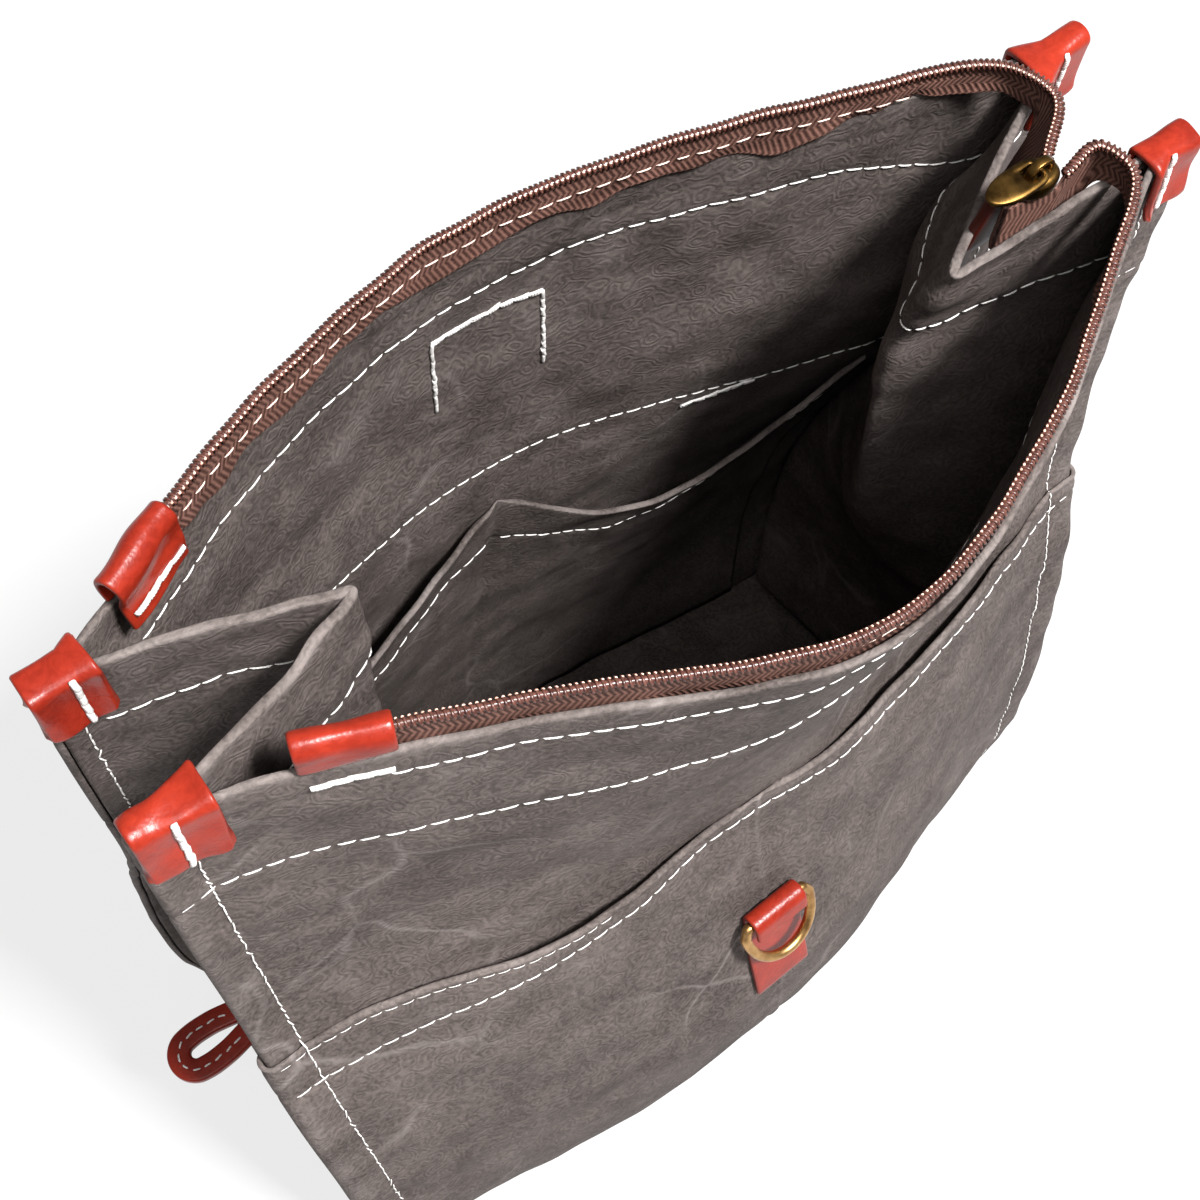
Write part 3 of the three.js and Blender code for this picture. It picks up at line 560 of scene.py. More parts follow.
def panel_base(side, u, z):
    """The smooth front (side -1) or back (side 1) panel: y bulges between the seams at u = -1 and 1."""
    name = "front" if side < 0 else "back"
    level = level_at(z)
    w = np.clip((u + 1) / 2, 0, 1) ** level[f"{name}_skew"]
    swell = 2 * w * (1 - w) + 0.5 * np.sin(np.pi * w) ** 2
    y = side * (level[f"{name}_y"] + level[f"{name}_bow"] * swell)
    return placed(level, u * level["half"], y, z + level[f"{name}_sag"] * swell)


# Creases of the panels. Each row: across and height of its middle, lean in degrees, length, width and depth.
CREASES = {
    -1: np.array([
        [-70, 330, 18, 60, 9, 0.7], [-20, 290, -24, 48, 7, -0.6], [60, 320, 62, 42, 10, -1.0],
        [95, 345, 75, 40, 8, 0.9], [100, 280, 40, 50, 9, 0.8], [-100, 180, -30, 46, 8, 0.8],
        [-50, 120, 24, 60, 11, -0.8], [60, 150, -35, 52, 9, 0.9], [95, 100, 55, 46, 10, -0.9],
        [20, 80, 8, 70, 12, 0.9], [-90, 70, 48, 50, 9, 0.7], [120, 200, 70, 40, 7, 1.0],
    ]),
    1: np.array([
        [-90, 320, -20, 50, 9, 0.7], [-10, 375, 6, 70, 8, -0.6], [70, 330, 30, 46, 9, 0.8],
        [40, 280, -15, 50, 8, -0.6], [-60, 200, 28, 55, 10, 0.8], [60, 140, -30, 60, 11, 0.9],
        [-80, 90, 14, 60, 10, -0.8], [100, 60, 40, 50, 9, 0.8], [0, 60, -8, 70, 12, 0.8],
    ]),
}
RING_SEAT_Z = 158


def crease_relief(side, u, z):
    """How far the creases lift the cloth: each is a ridge with a bell-shaped section that fades at its ends."""
    x = (u * RIM_HALF)[..., None]
    across, height, lean, length, width, depth = CREASES[side].T
    lean = np.radians(lean)
    along = (x - across) * np.cos(lean) + (z[..., None] - height) * np.sin(lean)
    aside = (z[..., None] - height) * np.cos(lean) - (x - across) * np.sin(lean)
    ridges = (depth * bell(along, length) * bell(aside, width)).sum(-1)
    seed = 11 if side < 0 else 23
    soft = 0.5 * ripple(seed, x[..., 0], z, 50, 120) + 0.22 * ripple(seed + 1, x[..., 0], z, 18, 36)
    seat = bell(np.hypot(x[..., 0] * 1.4, z - RING_SEAT_Z), 42) if side < 0 else 0
    return (ridges + soft) * (1 - seat)


def panel_out(side, u, z):
    """Level direction out of the bag."""
    along = panel_base(side, u + 0.01, z) - panel_base(side, u - 0.01, z)
    along[..., 2] = 0
    along = unit(along)
    return turned_left(along) * side


def panel(side, u, z, distance=0.0):
    """A point at a level distance from a panel's creased outer face, positive outside the bag."""
    u, z = (np.asarray(v, float) for v in np.broadcast_arrays(u, z))
    lift = np.asarray(distance + crease_relief(side, u, z))[..., None]
    return panel_base(side, u, z) + panel_out(side, u, z) * lift


print("half width at the rim", RIM_HALF)

# %% [markdown]
# ## Front and back panels
# Each panel is one sheet of canvas whose upright edges are pinched into a narrow flange and stitched. A flat strip
# would end in a raw edge, so the sheet's last columns curl round the flange's tip. Its rim is folded in and hemmed,
# and a groove runs under each row of stitches, where the thread pulls the cloth in.

# %% Panel lines
FLANGE_END = FLANGE - 0.8
CURL_RADIUS = (2 * CANVAS + GAP) / 2
FLANGE_U = 1 + FLANGE_END / RIM_HALF
HEM_THICK = 0.45
HEM_Z, HEM_DIP = {-1: 345, 1: 371}, {-1: 18, 1: 14}
RIM_ROW_DROP, RIM_ROW_DIP = 13, 5
BACK_SEAM_Z, BACK_SEAM_FALL, BACK_SEAM_BEND = 261, 24, 8


def hem_height(side, u):
    """Height of a panel's hem stitches: level, but for a dip at the right of the back and the middle of the front."""
    return HEM_Z[side] - HEM_DIP[side] * (step(u, 0.6, 0.93) if side > 0 else bell(u - 0.05, 0.45))


def rim_stitch_height(u):
    """The row under the rim is level, but for a dip near the middle."""
    return RIM_Z - RIM_ROW_DROP - RIM_ROW_DIP * bell(u - 0.1, 0.4)


def back_seam_height(u):
    """The seam across the back falls from left to right in a shallow bend."""
    return BACK_SEAM_Z - BACK_SEAM_FALL * u + BACK_SEAM_BEND * u ** 2


def panel_seams(side, u):
    """Heights of all rows of stitches across a panel."""
    seams = [hem_height(side, u), rim_stitch_height(u)]
    if side > 0:
        seams.append(back_seam_height(u))
    return seams


def dents(value, places, depth=0.42, width=1.6):
    """Bell-shaped grooves at the places of the seams."""
    return -depth * sum(bell(value - place, width) for place in places)


# %% Panels
MIDDLE_COLUMNS = np.array([-0.02, -0.013, -0.009, -0.005, 0, 0.005, 0.009, 0.013, 0.02])
CURL_COLUMNS = 10


def flange_columns(count):
    """u of a panel's columns, which crowd at the flanges and the middle, and their turns round the flange's tip."""
    flange = np.linspace(1.005, FLANGE_U, 8)
    half = np.linspace(0.032, 1, count // 2)
    flat = np.concatenate([-flange[::-1], -half[::-1], MIDDLE_COLUMNS, half, flange])
    curl = np.linspace(0, np.pi, CURL_COLUMNS + 1)[1:]
    u = np.concatenate([np.full(CURL_COLUMNS, -FLANGE_U), flat, np.full(CURL_COLUMNS, FLANGE_U)])
    turn = np.concatenate([-curl[::-1], np.zeros(len(flat)), curl])
    return u[:, None], turn[:, None]


def curled(side, u, turn, z, stand, distance, radius):
    """A panel layer whose last columns roll inwards round the flange's tip, like paper round a pencil.

    stand is the layer's distance from the panel, and distance is measured from the layer's own outer face.
    """
    u, turn, z = np.broadcast_arrays(u, turn, z)
    out = panel_out(side, u, z)
    tip = np.sign(turn)[..., None] * turned_left(out) * -side
    roll = np.abs(turn)[..., None]
    pucker = (np.abs(u) > 1) * 0.35 * np.sin(z / 5.2 + 2 * np.sin(z / 31))
    centre = panel(side, u, z, stand + pucker - radius)
    reach = np.asarray(radius + distance)[..., None]
    return centre + reach * (tip * np.sin(roll) + out * np.cos(roll))


PANELS = {"front_panel": -1, "back_panel": 1}
PANEL_ROWS = np.concatenate([np.linspace(0, 0.58, 50), np.linspace(0.584, 1, 100)])
for name, side in PANELS.items():
    u, turn = flange_columns(104)
    free = step(1 - np.abs(u), 0.0, 0.05)
    seams, flange_dent = panel_seams(side, u), dents((np.abs(u) - 1) * RIM_HALF, [0], 0.5)
    z, distance = wall_section(
        PANEL_ROWS, 0, RIM_Z + 0 * u,
        lambda z: dents(z, seams) + flange_dent,
        lambda z: -CANVAS - free * (HEM_THICK * step(z, seams[0] - 1, seams[0] + 2) + dents(z, seams, 0.3)),
    )
    points = curled(side, u, turn, z, 0.0, distance, CURL_RADIUS)
    flat = joined(u * RIM_HALF + turn * CURL_RADIUS, z)
    wear = bell(RIM_Z - z, 3) * 0.9 + bell((np.abs(u) - FLANGE_U) * RIM_HALF, 3.5) * 0.5
    cloth = piece(f"{name}_canvas", points, CANVAS_FINISH, flat, wear, [name])

# %% [markdown]
# ## Gussets
# A gusset is the side wall that folds in when the bag is closed. At each height its line goes in along one leg, round
# the fold and out along the other leg, and each corner is a small curve. Near the foot the fold opens and the wall
# swells outwards, which the table's fold column gives.


# %% Gusset lines
def rounded(before, corner, after, reach, t):
    """A curve that leaves one leg at a reach from the corner and joins the other leg at the same reach."""
    start = corner + unit(before - corner) * reach
    end = corner + unit(after - corner) * reach
    t = t[:, None]
    return (1 - t) ** 2 * start[:, None] + 2 * t * (1 - t) * corner[:, None] + t ** 2 * end[:, None]


def straight(a, b, count):
    """Points between two corners, without the corners themselves."""
    t = np.linspace(0, 1, count + 2)[1:-1][:, None]
    return a[:, None] * (1 - t) + b[:, None] * t


SEAM_REACH = 4.0
# Columns of a gusset's line on each flange, and the two columns that its stitches run along.
FLANGE_COLUMNS = 9
SEWN_COLUMNS = (5, -6)


def gusset_line(hand, heights):
    """Middle line of a gusset at each height: rows of points x, y, from the back flange to the front flange."""
    level = level_at(heights)
    inset = CANVAS + GAP + CANVAS / 2
    fold = level["fold_left"] if hand < 0 else level["fold_right"]
    pull = np.maximum(0, 1 - (RIM_Z - heights) / RIGHT_FOLD_PULL_DEPTH) ** 2
    half = level["half"]
    tip = half + FLANGE - 1.2
    back_y = level["back_y"] - inset
    front_y = inset - level["front_y"]
    middle = (back_y + front_y) / 2 - (RIGHT_FOLD_PULL * pull if hand > 0 else 0)
    back_tip, back_seam = joined(tip, back_y), joined(half, back_y)
    bottom = joined(half - fold, middle)
    front_seam, front_tip = joined(half, front_y), joined(tip, front_y)
    legs = np.minimum(np.linalg.norm(bottom - back_seam, axis=-1), np.linalg.norm(bottom - front_seam, axis=-1))
    reach = (level["soft"] * legs)[:, None]
    small = np.linspace(0, 1, 7)
    back_turn = rounded(back_tip, back_seam, bottom, SEAM_REACH, small)
    fold_turn = rounded(back_seam, bottom, front_seam, reach, np.linspace(0, 1, 25))
    front_turn = rounded(bottom, front_seam, front_tip, SEAM_REACH, small)
    line = [
        back_tip[:, None], straight(back_tip, back_turn[:, 0], 4), back_turn,
        straight(back_turn[:, -1], fold_turn[:, 0], 26), fold_turn,
        straight(fold_turn[:, -1], front_turn[:, 0], 26), front_turn,
        straight(front_turn[:, -1], front_tip, 4), front_tip[:, None],
    ]
    return level, np.concatenate(line, axis=1)


# %% Gussets
GUSSET_HEM = RIM_Z - 44
GUSSET_HEM_RISE = 12
GUSSET_HEM_THICK = 0.5
FREE_RUN = 40
FOLD_SAG = {-1: 1.5, 1: 11}
FOLD_SAG_WIDTH = 34
# How far the back leg bulges into the bag below the rim.
TUCK = {-1: 2.0, 1: 10.0}
TUCK_HEIGHT, TUCK_DEPTH = 356, 30


def gusset_hem(share):
    """Height of a gusset's hem: higher on the back leg, where share runs from 0 at the back to 1 at the front."""
    return GUSSET_HEM + GUSSET_HEM_RISE * (1 - step(share, 0.42, 0.6))


def gusset(hand, heights, distance=0.0, hem=0.0):
    """Points at a level distance from a gusset's middle, and its level normals, which point into the outer groove.

    Both may vary by height. hem is a further distance above the hem, which fades out at the flanges. The fold's top
    hangs lower, and the back leg bulges into the bag.
    """
    level, line = gusset_line(hand, heights)
    level = {key: value[:, None] for key, value in level.items()}
    tangent = unit(np.gradient(line, axis=1))
    normal = turned_left(tangent)[..., :2]
    run = np.concatenate([np.zeros((len(line), 1)), np.linalg.norm(np.diff(line, axis=1), axis=-1).cumsum(1)], 1)
    z = np.broadcast_to(heights[:, None], run.shape)
    free = np.minimum(run, run[:, -1:] - run).clip(0, FREE_RUN) / FREE_RUN
    seed = 31 if hand < 0 else 37
    relief = free * (0.6 * ripple(seed, run, z, 40, 90) + 0.25 * ripple(seed + 1, run, z, 14, 30))
    share = run / run[:, -1:]
    tuck = TUCK[hand] * free * bell(share - 0.28, 0.15) * bell(z - TUCK_HEIGHT, TUCK_DEPTH)
    lap = np.reshape(hem, (-1, 1)) * step(z - gusset_hem(share), -1, 3)
    away = relief - tuck + np.reshape(distance, (-1, 1)) + free * lap
    line = line + normal * away[..., None]
    sag = FOLD_SAG[hand] * bell(run - run[:, -1:] / 2, FOLD_SAG_WIDTH) * (z / RIM_Z) ** 4
    points = placed(level, hand * line[..., 0], line[..., 1], z - sag)
    ahead = placed(level, hand * normal[..., 0], normal[..., 1], z) - placed(level, 0, 0, z)
    return points, ahead, run, z


GUSSETS = {"gusset_left": -1, "gusset_right": 1}
GUSSET_ROWS = np.concatenate([np.linspace(0, 0.74, 60), np.linspace(0.75, 1, 56)])[None, :]
z, distance = wall_section(
    GUSSET_ROWS, 0, np.array([[float(RIM_Z)]]), lambda z: CANVAS / 2 + 0 * z, lambda z: -CANVAS / 2 + 0 * z
)
z, distance = z[0], distance[0]
hem = distance / CANVAS * 2 * GUSSET_HEM_THICK
for name, hand in GUSSETS.items():
    points, _, run, heights = gusset(hand, z, distance, hem)
    wear = bell(RIM_Z - heights.T, 3) * 0.9
    flat = joined(run.T, heights.T)
    cloth = piece(f"{name}_canvas", points.swapaxes(0, 1), CANVAS_FINISH, flat, wear, [name])

# %% [markdown]
# ## Base
# The base is a plain piece of canvas on a stiff plate, sewn to all four walls. Four curves bound it: the feet of the
# panels and of the gussets. A Coons patch fills them: it adds the two surfaces that are ruled between opposite
# curves and takes away the one ruled between the corners.

# %% Base
BASE_PLATE = 2.5
BASE_FOOT = 0.25
BASE_COLUMNS, BASE_ROWS = 70, 44
BASE_EDGE = 1.03
u = np.linspace(-BASE_EDGE, BASE_EDGE, BASE_COLUMNS)
front_foot, back_foot = (panel(side, u, 0, -CANVAS) for side in (-1, 1))


def gusset_foot(hand, first, last):
    """The foot of a gusset's inner face from front to back, moved a little to meet two corners."""
    points = gusset(hand, np.array([1.0]), -CANVAS / 2)[0][0, ::-1][FLANGE_COLUMNS:-FLANGE_COLUMNS]
    run = np.linspace(0, 1, len(points))
    v = np.linspace(0, 1, BASE_ROWS)
    line = read_at(v, run, points)
    return line + ((1 - v) ** 6)[:, None] * (first - line[0]) + (v ** 6)[:, None] * (last - line[-1])


left_foot = gusset_foot(-1, front_foot[0], back_foot[0])[None]
right_foot = gusset_foot(1, front_foot[-1], back_foot[-1])[None]
s = np.linspace(0, 1, BASE_COLUMNS)[:, None, None]
v = np.linspace(0, 1, BASE_ROWS)[None, :, None]
ruled_up = front_foot[:, None] * (1 - v) + back_foot[:, None] * v
ruled_across = left_foot * (1 - s) + right_foot * s
corners = (front_foot[0] * (1 - v) + back_foot[0] * v) * (1 - s) + (front_foot[-1] * (1 - v) + back_foot[-1] * v) * s
top = ruled_up + ruled_across - corners
top[..., 2] = BASE_PLATE - 0.5 + 0.45 * ripple(41, top[..., 0], top[..., 1], 30, 80)
under = top.copy()
under[..., 2] = BASE_FOOT
points = np.concatenate([top, under[:, ::-1]], 1)
cloth = piece("base_canvas", points, CANVAS_FINISH, points[..., :2], 0.0, ["base_panel"])

# %% [markdown]
# ## Pockets
# Both pockets are a second layer over the lower half of a panel, sewn at the sides and down the middle. Their mouths
# stand open a little, most at the middle of each half, so the layer's distance from the panel is a squared sine
# across the bag that grows with height. The mouths of the inner one have sagged, the right one most.


# %% Front pocket
def gape(u, left, right, power=2.0):
    """Nothing at the sides and the middle seam, most half way between. A low power makes the middle seam sharp."""
    return np.where(u < 0, left, right) * np.abs(np.sin(np.pi * u)) ** power


FRONT_POCKET_GAPE = (6.5, 4.5)
FRONT_POCKET_LOW = 1.5
POCKET_EDGE_DROP = 2.6
POCKET_HEM_DROP, POCKET_HEM_WIDER = 8.5, 12
# Share of the way round the flange's tip that the pocket goes, and shifts that keep the weaves of layers apart.
POCKET_CURL = 0.86
POCKET_WEAVE_SHIFT, INNER_WEAVE_SHIFT = 1.7, 3.1


def pocket_mouth(u):
    """Height of the front pocket's mouth, which is held up by the seam in its middle."""
    return POCKET_Z + 9 * bell(u, 0.16) + 1.2 * np.sin(u * 9 + 1)


def front_pocket_stand(u, z):
    """Distance of the pocket's outer face from the panel's outer face."""
    return GAP + CANVAS + gape(np.clip(u, -1, 1), *FRONT_POCKET_GAPE) * (z / pocket_mouth(u)) ** 2


def pocket_seams(u):
    """Heights of the edge stitches and of the hem stitches, whose band is widest at the left."""
    wider = POCKET_HEM_WIDER * (1 - step(u, -0.95, -0.25))
    return [pocket_mouth(u) - POCKET_EDGE_DROP, pocket_mouth(u) - POCKET_HEM_DROP - wider]


POCKET_ROWS = np.concatenate([np.linspace(0, 0.85, 44), np.linspace(0.856, 1, 34)])
u, turn = flange_columns(120)
turn = turn * POCKET_CURL
seams = pocket_seams(u)
free = step(1 - np.abs(u), 0.0, 0.05) * step(np.abs(u), 0.02, 0.07)
middle_ridge = bell(u * RIM_HALF, 1.3)
side_dents = dents((np.abs(u) - 1) * RIM_HALF, [0], 0.5) + dents(u * RIM_HALF, [0], 0.8, 6) + 0.9 * middle_ridge
z, distance = wall_section(
    POCKET_ROWS, FRONT_POCKET_LOW, pocket_mouth(u),
    lambda z: dents(z, seams) + side_dents,
    lambda z: -CANVAS - free * 0.8 * step(z, seams[1] - 1, seams[1] + 2),
)
points = curled(-1, u, turn, z, front_pocket_stand(u, z), distance, CURL_RADIUS + CANVAS + GAP)
wear = bell(pocket_mouth(u) - z, 2.2) * 0.5 + bell((np.abs(u) - FLANGE_U) * RIM_HALF, 3.5) * 0.5 + 0.6 * middle_ridge
flat = joined(u * RIM_HALF + turn * CURL_RADIUS, z + POCKET_WEAVE_SHIFT)
cloth = piece("front_pocket_canvas", points, CANVAS_FINISH, flat, wear, ["front_pocket"])

# %% Inner pocket
INNER_POCKET_GAPE = (10, 14)
INNER_POCKET_SAG = (22, 44)
INNER_POCKET_POWER = 1.2
INNER_POCKET_EDGE = 10 / 11
INNER_POCKET_LOW = 3.5
INNER_HEM = POCKET_Z - 31


def inner_pocket(u, z, distance=0.0):
    """The inner pocket's face towards the main space, which sinks where the mouth sags."""
    across = u / INNER_POCKET_EDGE
    grow = (z / POCKET_Z) ** 2
    stand = -(2 * CANVAS + GAP) - gape(across, *INNER_POCKET_GAPE, INNER_POCKET_POWER) * grow
    return panel(1, u, z - gape(across, *INNER_POCKET_SAG, INNER_POCKET_POWER) * grow, stand - distance)


u = np.linspace(-INNER_POCKET_EDGE, INNER_POCKET_EDGE, 161)[:, None]
middle_dent = dents(u * RIM_HALF, [0], 1.3, 2.6)
free = step(np.abs(u), 0.02, 0.07) * step(INNER_POCKET_EDGE - np.abs(u), 0.0, 0.05)
z, distance = wall_section(
    POCKET_ROWS, INNER_POCKET_LOW, POCKET_Z + 0 * u,
    lambda z: dents(z, [INNER_HEM]) + middle_dent,
    lambda z: -CANVAS - free * 0.7 * step(z, INNER_HEM - 1, INNER_HEM + 2),
)
points = inner_pocket(u + 0 * z, z, distance)
wear = bell(POCKET_Z - z, 2.5)
flat = joined(u * RIM_HALF + INNER_WEAVE_SHIFT, z)
cloth = piece("inner_pocket_canvas", points, CANVAS_FINISH, flat, wear, ["inner_pocket"])

# %% [markdown]
# ## Stitches
# Stitches are what the eye reads first on this bag: heavy, nearly white, and a little uneven. A bump could suggest
# them, but real thread stands up and casts a shadow. One function lays short arched threads along any path on the
# cloth. All the threads of a row are made at once, as an array with one axis for the stitch, one for its length and
# one for its round section.


# %% Stitch maker
def resampled(path, *others, count=400):
    """A path, and what goes with it, at even steps along its length."""
    run = run_along(path)
    even = np.linspace(0, run[-1], count)
    return [read_at(even, run, np.asarray(values)) for values in (path, *others)]


STITCH_RINGS = 7
STITCH_SIDES = 6


def stitch_row(path, normals, pitch=6.0, gap=0.6, radius=0.31, rise=0.36, wobble=0.22, seed=1):
    """Arched threads along a path: each is a tube that thins and dips into the cloth at both ends."""
    total = run_along(path)[-1]
    path, normals = resampled(path, normals)
    draw = np.random.default_rng(seed)
    count = max(1, int(round(total / pitch)))
    middles = (np.arange(count) + 0.5) * total / count + draw.normal(0, 0.15, count)
    lengths = total / count - gap + draw.normal(0, 0.3, count)
    s = np.linspace(-1, 1, STITCH_RINGS)
    at = np.clip(middles[:, None] + s * lengths[:, None] / 2, 0, total) / total * (len(path) - 1)
    index = np.arange(len(path))
    centre, normal = read_at(at, index, path), unit(read_at(at, index, normals))
    tangent = unit(np.gradient(centre, axis=1))
    aside = unit(np.cross(normal, tangent))
    slant = draw.normal(0, wobble, count)[:, None, None] * s[None, :, None]
    centre = centre + normal * (rise * (1 - s ** 4) - 0.15)[None, :, None] + aside * slant
    angle = circle(STITCH_SIDES)
    thin = radius * np.sqrt(np.clip(1 - 0.82 * s ** 6, 0, 1))
    ring = (normal[:, :, None] * np.sin(angle)[:, None] * 0.8 + aside[:, :, None] * np.cos(angle)[:, None])
    points = centre[:, :, None] + ring * thin[None, :, None, None]
    return points, joined(at[:, :, None] / len(path) * total, angle * radius)


def tube_faces(count, rings, sides):
    """Faces of many closed tubes: sides, and two four-sided faces across each end."""
    side = grid_faces(rings, sides, wrap_columns=True)
    last = (rings - 1) * sides
    ends = [[0, 3, 2, 1], [0, 5, 4, 3], [last, last + 1, last + 2, last + 3], [last, last + 3, last + 4, last + 5]]
    one = np.concatenate([side, np.array(ends)])
    return (one[None] + (np.arange(count) * rings * sides)[:, None, None]).reshape(-1, 4)


def stitches(name, rows, material=THREAD_FINISH):
    """Joins rows of stitches into one piece."""
    points = np.concatenate([row[0] for row in rows])
    flat = np.concatenate([row[1] for row in rows])
    faces = tube_faces(len(points), STITCH_RINGS, STITCH_SIDES)
    piece(name, points, material, flat, faces=faces)


print("a stitch has", STITCH_RINGS * STITCH_SIDES, "points")


# %% Stitches on the panels
def panel_row(side, u, z, distance, inner=False, **how):
    """Stitches on a panel's outer face, or on its inner face."""
    u, z = np.broadcast_arrays(np.asarray(u, float), np.asarray(z, float))
    normal = panel_out(side, u, z) * (-1 if inner else 1)
    return stitch_row(panel(side, u, z, distance), normal, **how)


SUNK = -0.34
INSIDE = -CANVAS + 0.25
HEM_INSIDE = INSIDE - HEM_THICK / 2
FLANGE_THREAD = dict(pitch=4.4, gap=0.4, radius=0.27, wobble=0.32)
FINE_THREAD = dict(pitch=5.0, radius=0.18)
FLANGE_ROW = (3, RIM_Z - 22)
across = np.linspace(-0.99, 0.99, 320)
wide = np.linspace(-FLANGE_U, FLANGE_U, 330)
after_tab = np.linspace(-0.70, 0.98, 300)
front_rows = [
    panel_row(-1, after_tab, rim_stitch_height(after_tab), SUNK, seed=2),
    panel_row(-1, wide, hem_height(-1, wide), SUNK, seed=3),
    panel_row(-1, across, hem_height(-1, across), HEM_INSIDE, True, seed=4),
]
edge_u = np.linspace(-FLANGE_U, -0.36, 160)
edge_z = pocket_seams(edge_u)[0]
edge_stand = front_pocket_stand(edge_u, edge_z)
front_rows.append(panel_row(-1, edge_u, edge_z, edge_stand + SUNK, seed=5, **FINE_THREAD))
hem_z = pocket_seams(wide)[1]
front_rows.append(panel_row(-1, wide, hem_z, front_pocket_stand(wide, hem_z) + SUNK, seed=6))
back_rows = [
    panel_row(1, after_tab, rim_stitch_height(after_tab), SUNK, seed=9),
    panel_row(1, across, hem_height(1, across), SUNK, seed=10),
    panel_row(1, across, hem_height(1, across), HEM_INSIDE, True, seed=11),
    panel_row(1, across, back_seam_height(across), SUNK, seed=12),
    panel_row(1, across, back_seam_height(across), INSIDE, True, seed=14),
]
flange_z = np.linspace(*FLANGE_ROW, 300)
for side, rows in ((-1, front_rows), (1, back_rows)):
    for hand in (-1, 1):
        edge = float(hand)
        stand = np.where(flange_z < POCKET_Z, front_pocket_stand(edge, flange_z), 0) if side < 0 else 0
        rows.append(panel_row(side, edge, flange_z, stand + SUNK, seed=20 + side + 5 * hand, **FLANGE_THREAD))
stitches("front_stitches", front_rows)
stitches("back_stitches", back_rows)

# %% Stitches on the gussets and the inner pocket
for name, hand in GUSSETS.items():
    lip = CANVAS / 2 + GUSSET_HEM_THICK / 2 - 0.1
    run = gusset(hand, np.array([float(GUSSET_HEM)]))[2][0]
    points, ahead = gusset(hand, gusset_hem(run / run[-1]))[:2]
    column = np.arange(FLANGE_COLUMNS, len(run) - FLANGE_COLUMNS)
    points, ahead = points[column, column], ahead[column, column]
    rows = [
        stitch_row(points + ahead * lip, ahead, seed=41),
        stitch_row(points - ahead * lip, -ahead, seed=42),
    ]
    points, ahead = gusset(hand, np.linspace(*FLANGE_ROW, 120))[:2]
    face = points + ahead * CANVAS / 2
    rows += [stitch_row(face[:, k], ahead[:, k], seed=43 + k, **FLANGE_THREAD) for k in SEWN_COLUMNS]
    stitches(f"{name}_stitches", rows)

pocket_rows = []
for start, end, seed in ((-0.97, -0.02, 51), (0.02, 0.97, 52)):
    u = np.linspace(start, end, 160) * INNER_POCKET_EDGE
    pocket_rows.append(stitch_row(inner_pocket(u, INNER_HEM, SUNK), -panel_out(1, u, INNER_HEM), seed=seed))
stitches("inner_pocket_stitches", pocket_rows)

# %% Heavy stitches inside the back
HEAVY_THREAD = dict(pitch=4.6, gap=-1.0, radius=0.62, rise=0.5, wobble=0.4)
THICK_THREAD = dict(pitch=4.6, gap=-2.2, radius=0.9, rise=0.6, wobble=0.3)
TWICE_SEWN = 0.6
# Corners of the box that holds the patch, as u and height, from its left foot round to its right foot.
BOX = np.array([[-0.142, 317], [-0.146, 357], [0.100, 353], [0.106, 312]])
BAR_TACK = np.array([[0.452, 244.3], [0.617, 249.2]])


def between(corners, count=40):
    """Points on the straight lines from corner to corner."""
    t = np.linspace(0, 1, count)[:, None]
    return [a * (1 - t) + b * t for a, b in zip(corners[:-1], corners[1:])]


box_lines = between(BOX)
heavy_rows = []
for k, line in enumerate(box_lines + between(BAR_TACK)):
    for again in (0, 1):
        seed, z = 60 + 2 * k + again, line[:, 1] - TWICE_SEWN * again
        heavy_rows.append(panel_row(1, line[:, 0], z, INSIDE - 0.35, True, seed=seed, **HEAVY_THREAD))
stitches("back_heavy_stitches", heavy_rows)

# %% [markdown]
# ## Zip
# The zip's two halves are sewn inside the rim with the coil standing up. On the right they leave the panels, turn
# round the top corner of the gusset and meet in the slider, so the path is the rim's line followed by a smooth curve
# through a few points. The tape is a sheet along that path, and the coil is a thin round thread that winds round the
# tape's upper edge. A plain core fills the coil, and a pale bead on the inner side of each turn is a painted
# highlight, standing in for the glint of light on the glossy coil.

# %% Zip paths
UP = np.array([0, 0, 1.0])
TAPE = 1.2
TAPE_LAP = 6
TAPE_STAND = 11
TAPE_FACE = -(CANVAS + 0.6 + TAPE / 2)
SLIDER_X, SLIDER_Y = 112, -13
SLIDER_LENGTH = 13
SLIDER_MOUTH = SLIDER_X + SLIDER_LENGTH / 2 + 0.6


def smooth_path(points, count):
    """A cubic through points, whose slope at each one is that of the line between its neighbours."""
    points = np.asarray(points, float)
    run = run_along(points)
    slope = np.gradient(points, run, axis=0)
    at = np.linspace(0, run[-1], count)
    k = np.clip(np.searchsorted(run, at, side="right") - 1, 0, len(points) - 2)
    span = (run[k + 1] - run[k])[:, None]
    t = ((at - run[k]) / span[:, 0])[:, None]
    return cubic(points[k], points[k + 1], slope[k] * span, slope[k + 1] * span, t)


def level_sides(line):
    """Level directions to the left of a path, and along it."""
    ahead = np.gradient(line, axis=0)
    ahead[:, 2] = 0
    ahead = unit(ahead)
    return turned_left(ahead), ahead


# Where each half starts and leaves the rim as u, its bend in plan, and how its hem hangs and leans near the slider.
ZIPS = {
    "back": dict(side=1, start=-0.878, leave=0.74, bend=[[133, 15], [135, 5]], hang=(24.5, 20), lean=8),
    "front": dict(side=-1, start=-0.796, leave=0.76, bend=[[135, -22], [133, -15]], hang=(15.5, 12), lean=0),
}
SEWN = 200
FREE = 70
FREE_HANG, FREE_LIFT = 18, 0.8
ZIP_HALF_GAP = 3.2


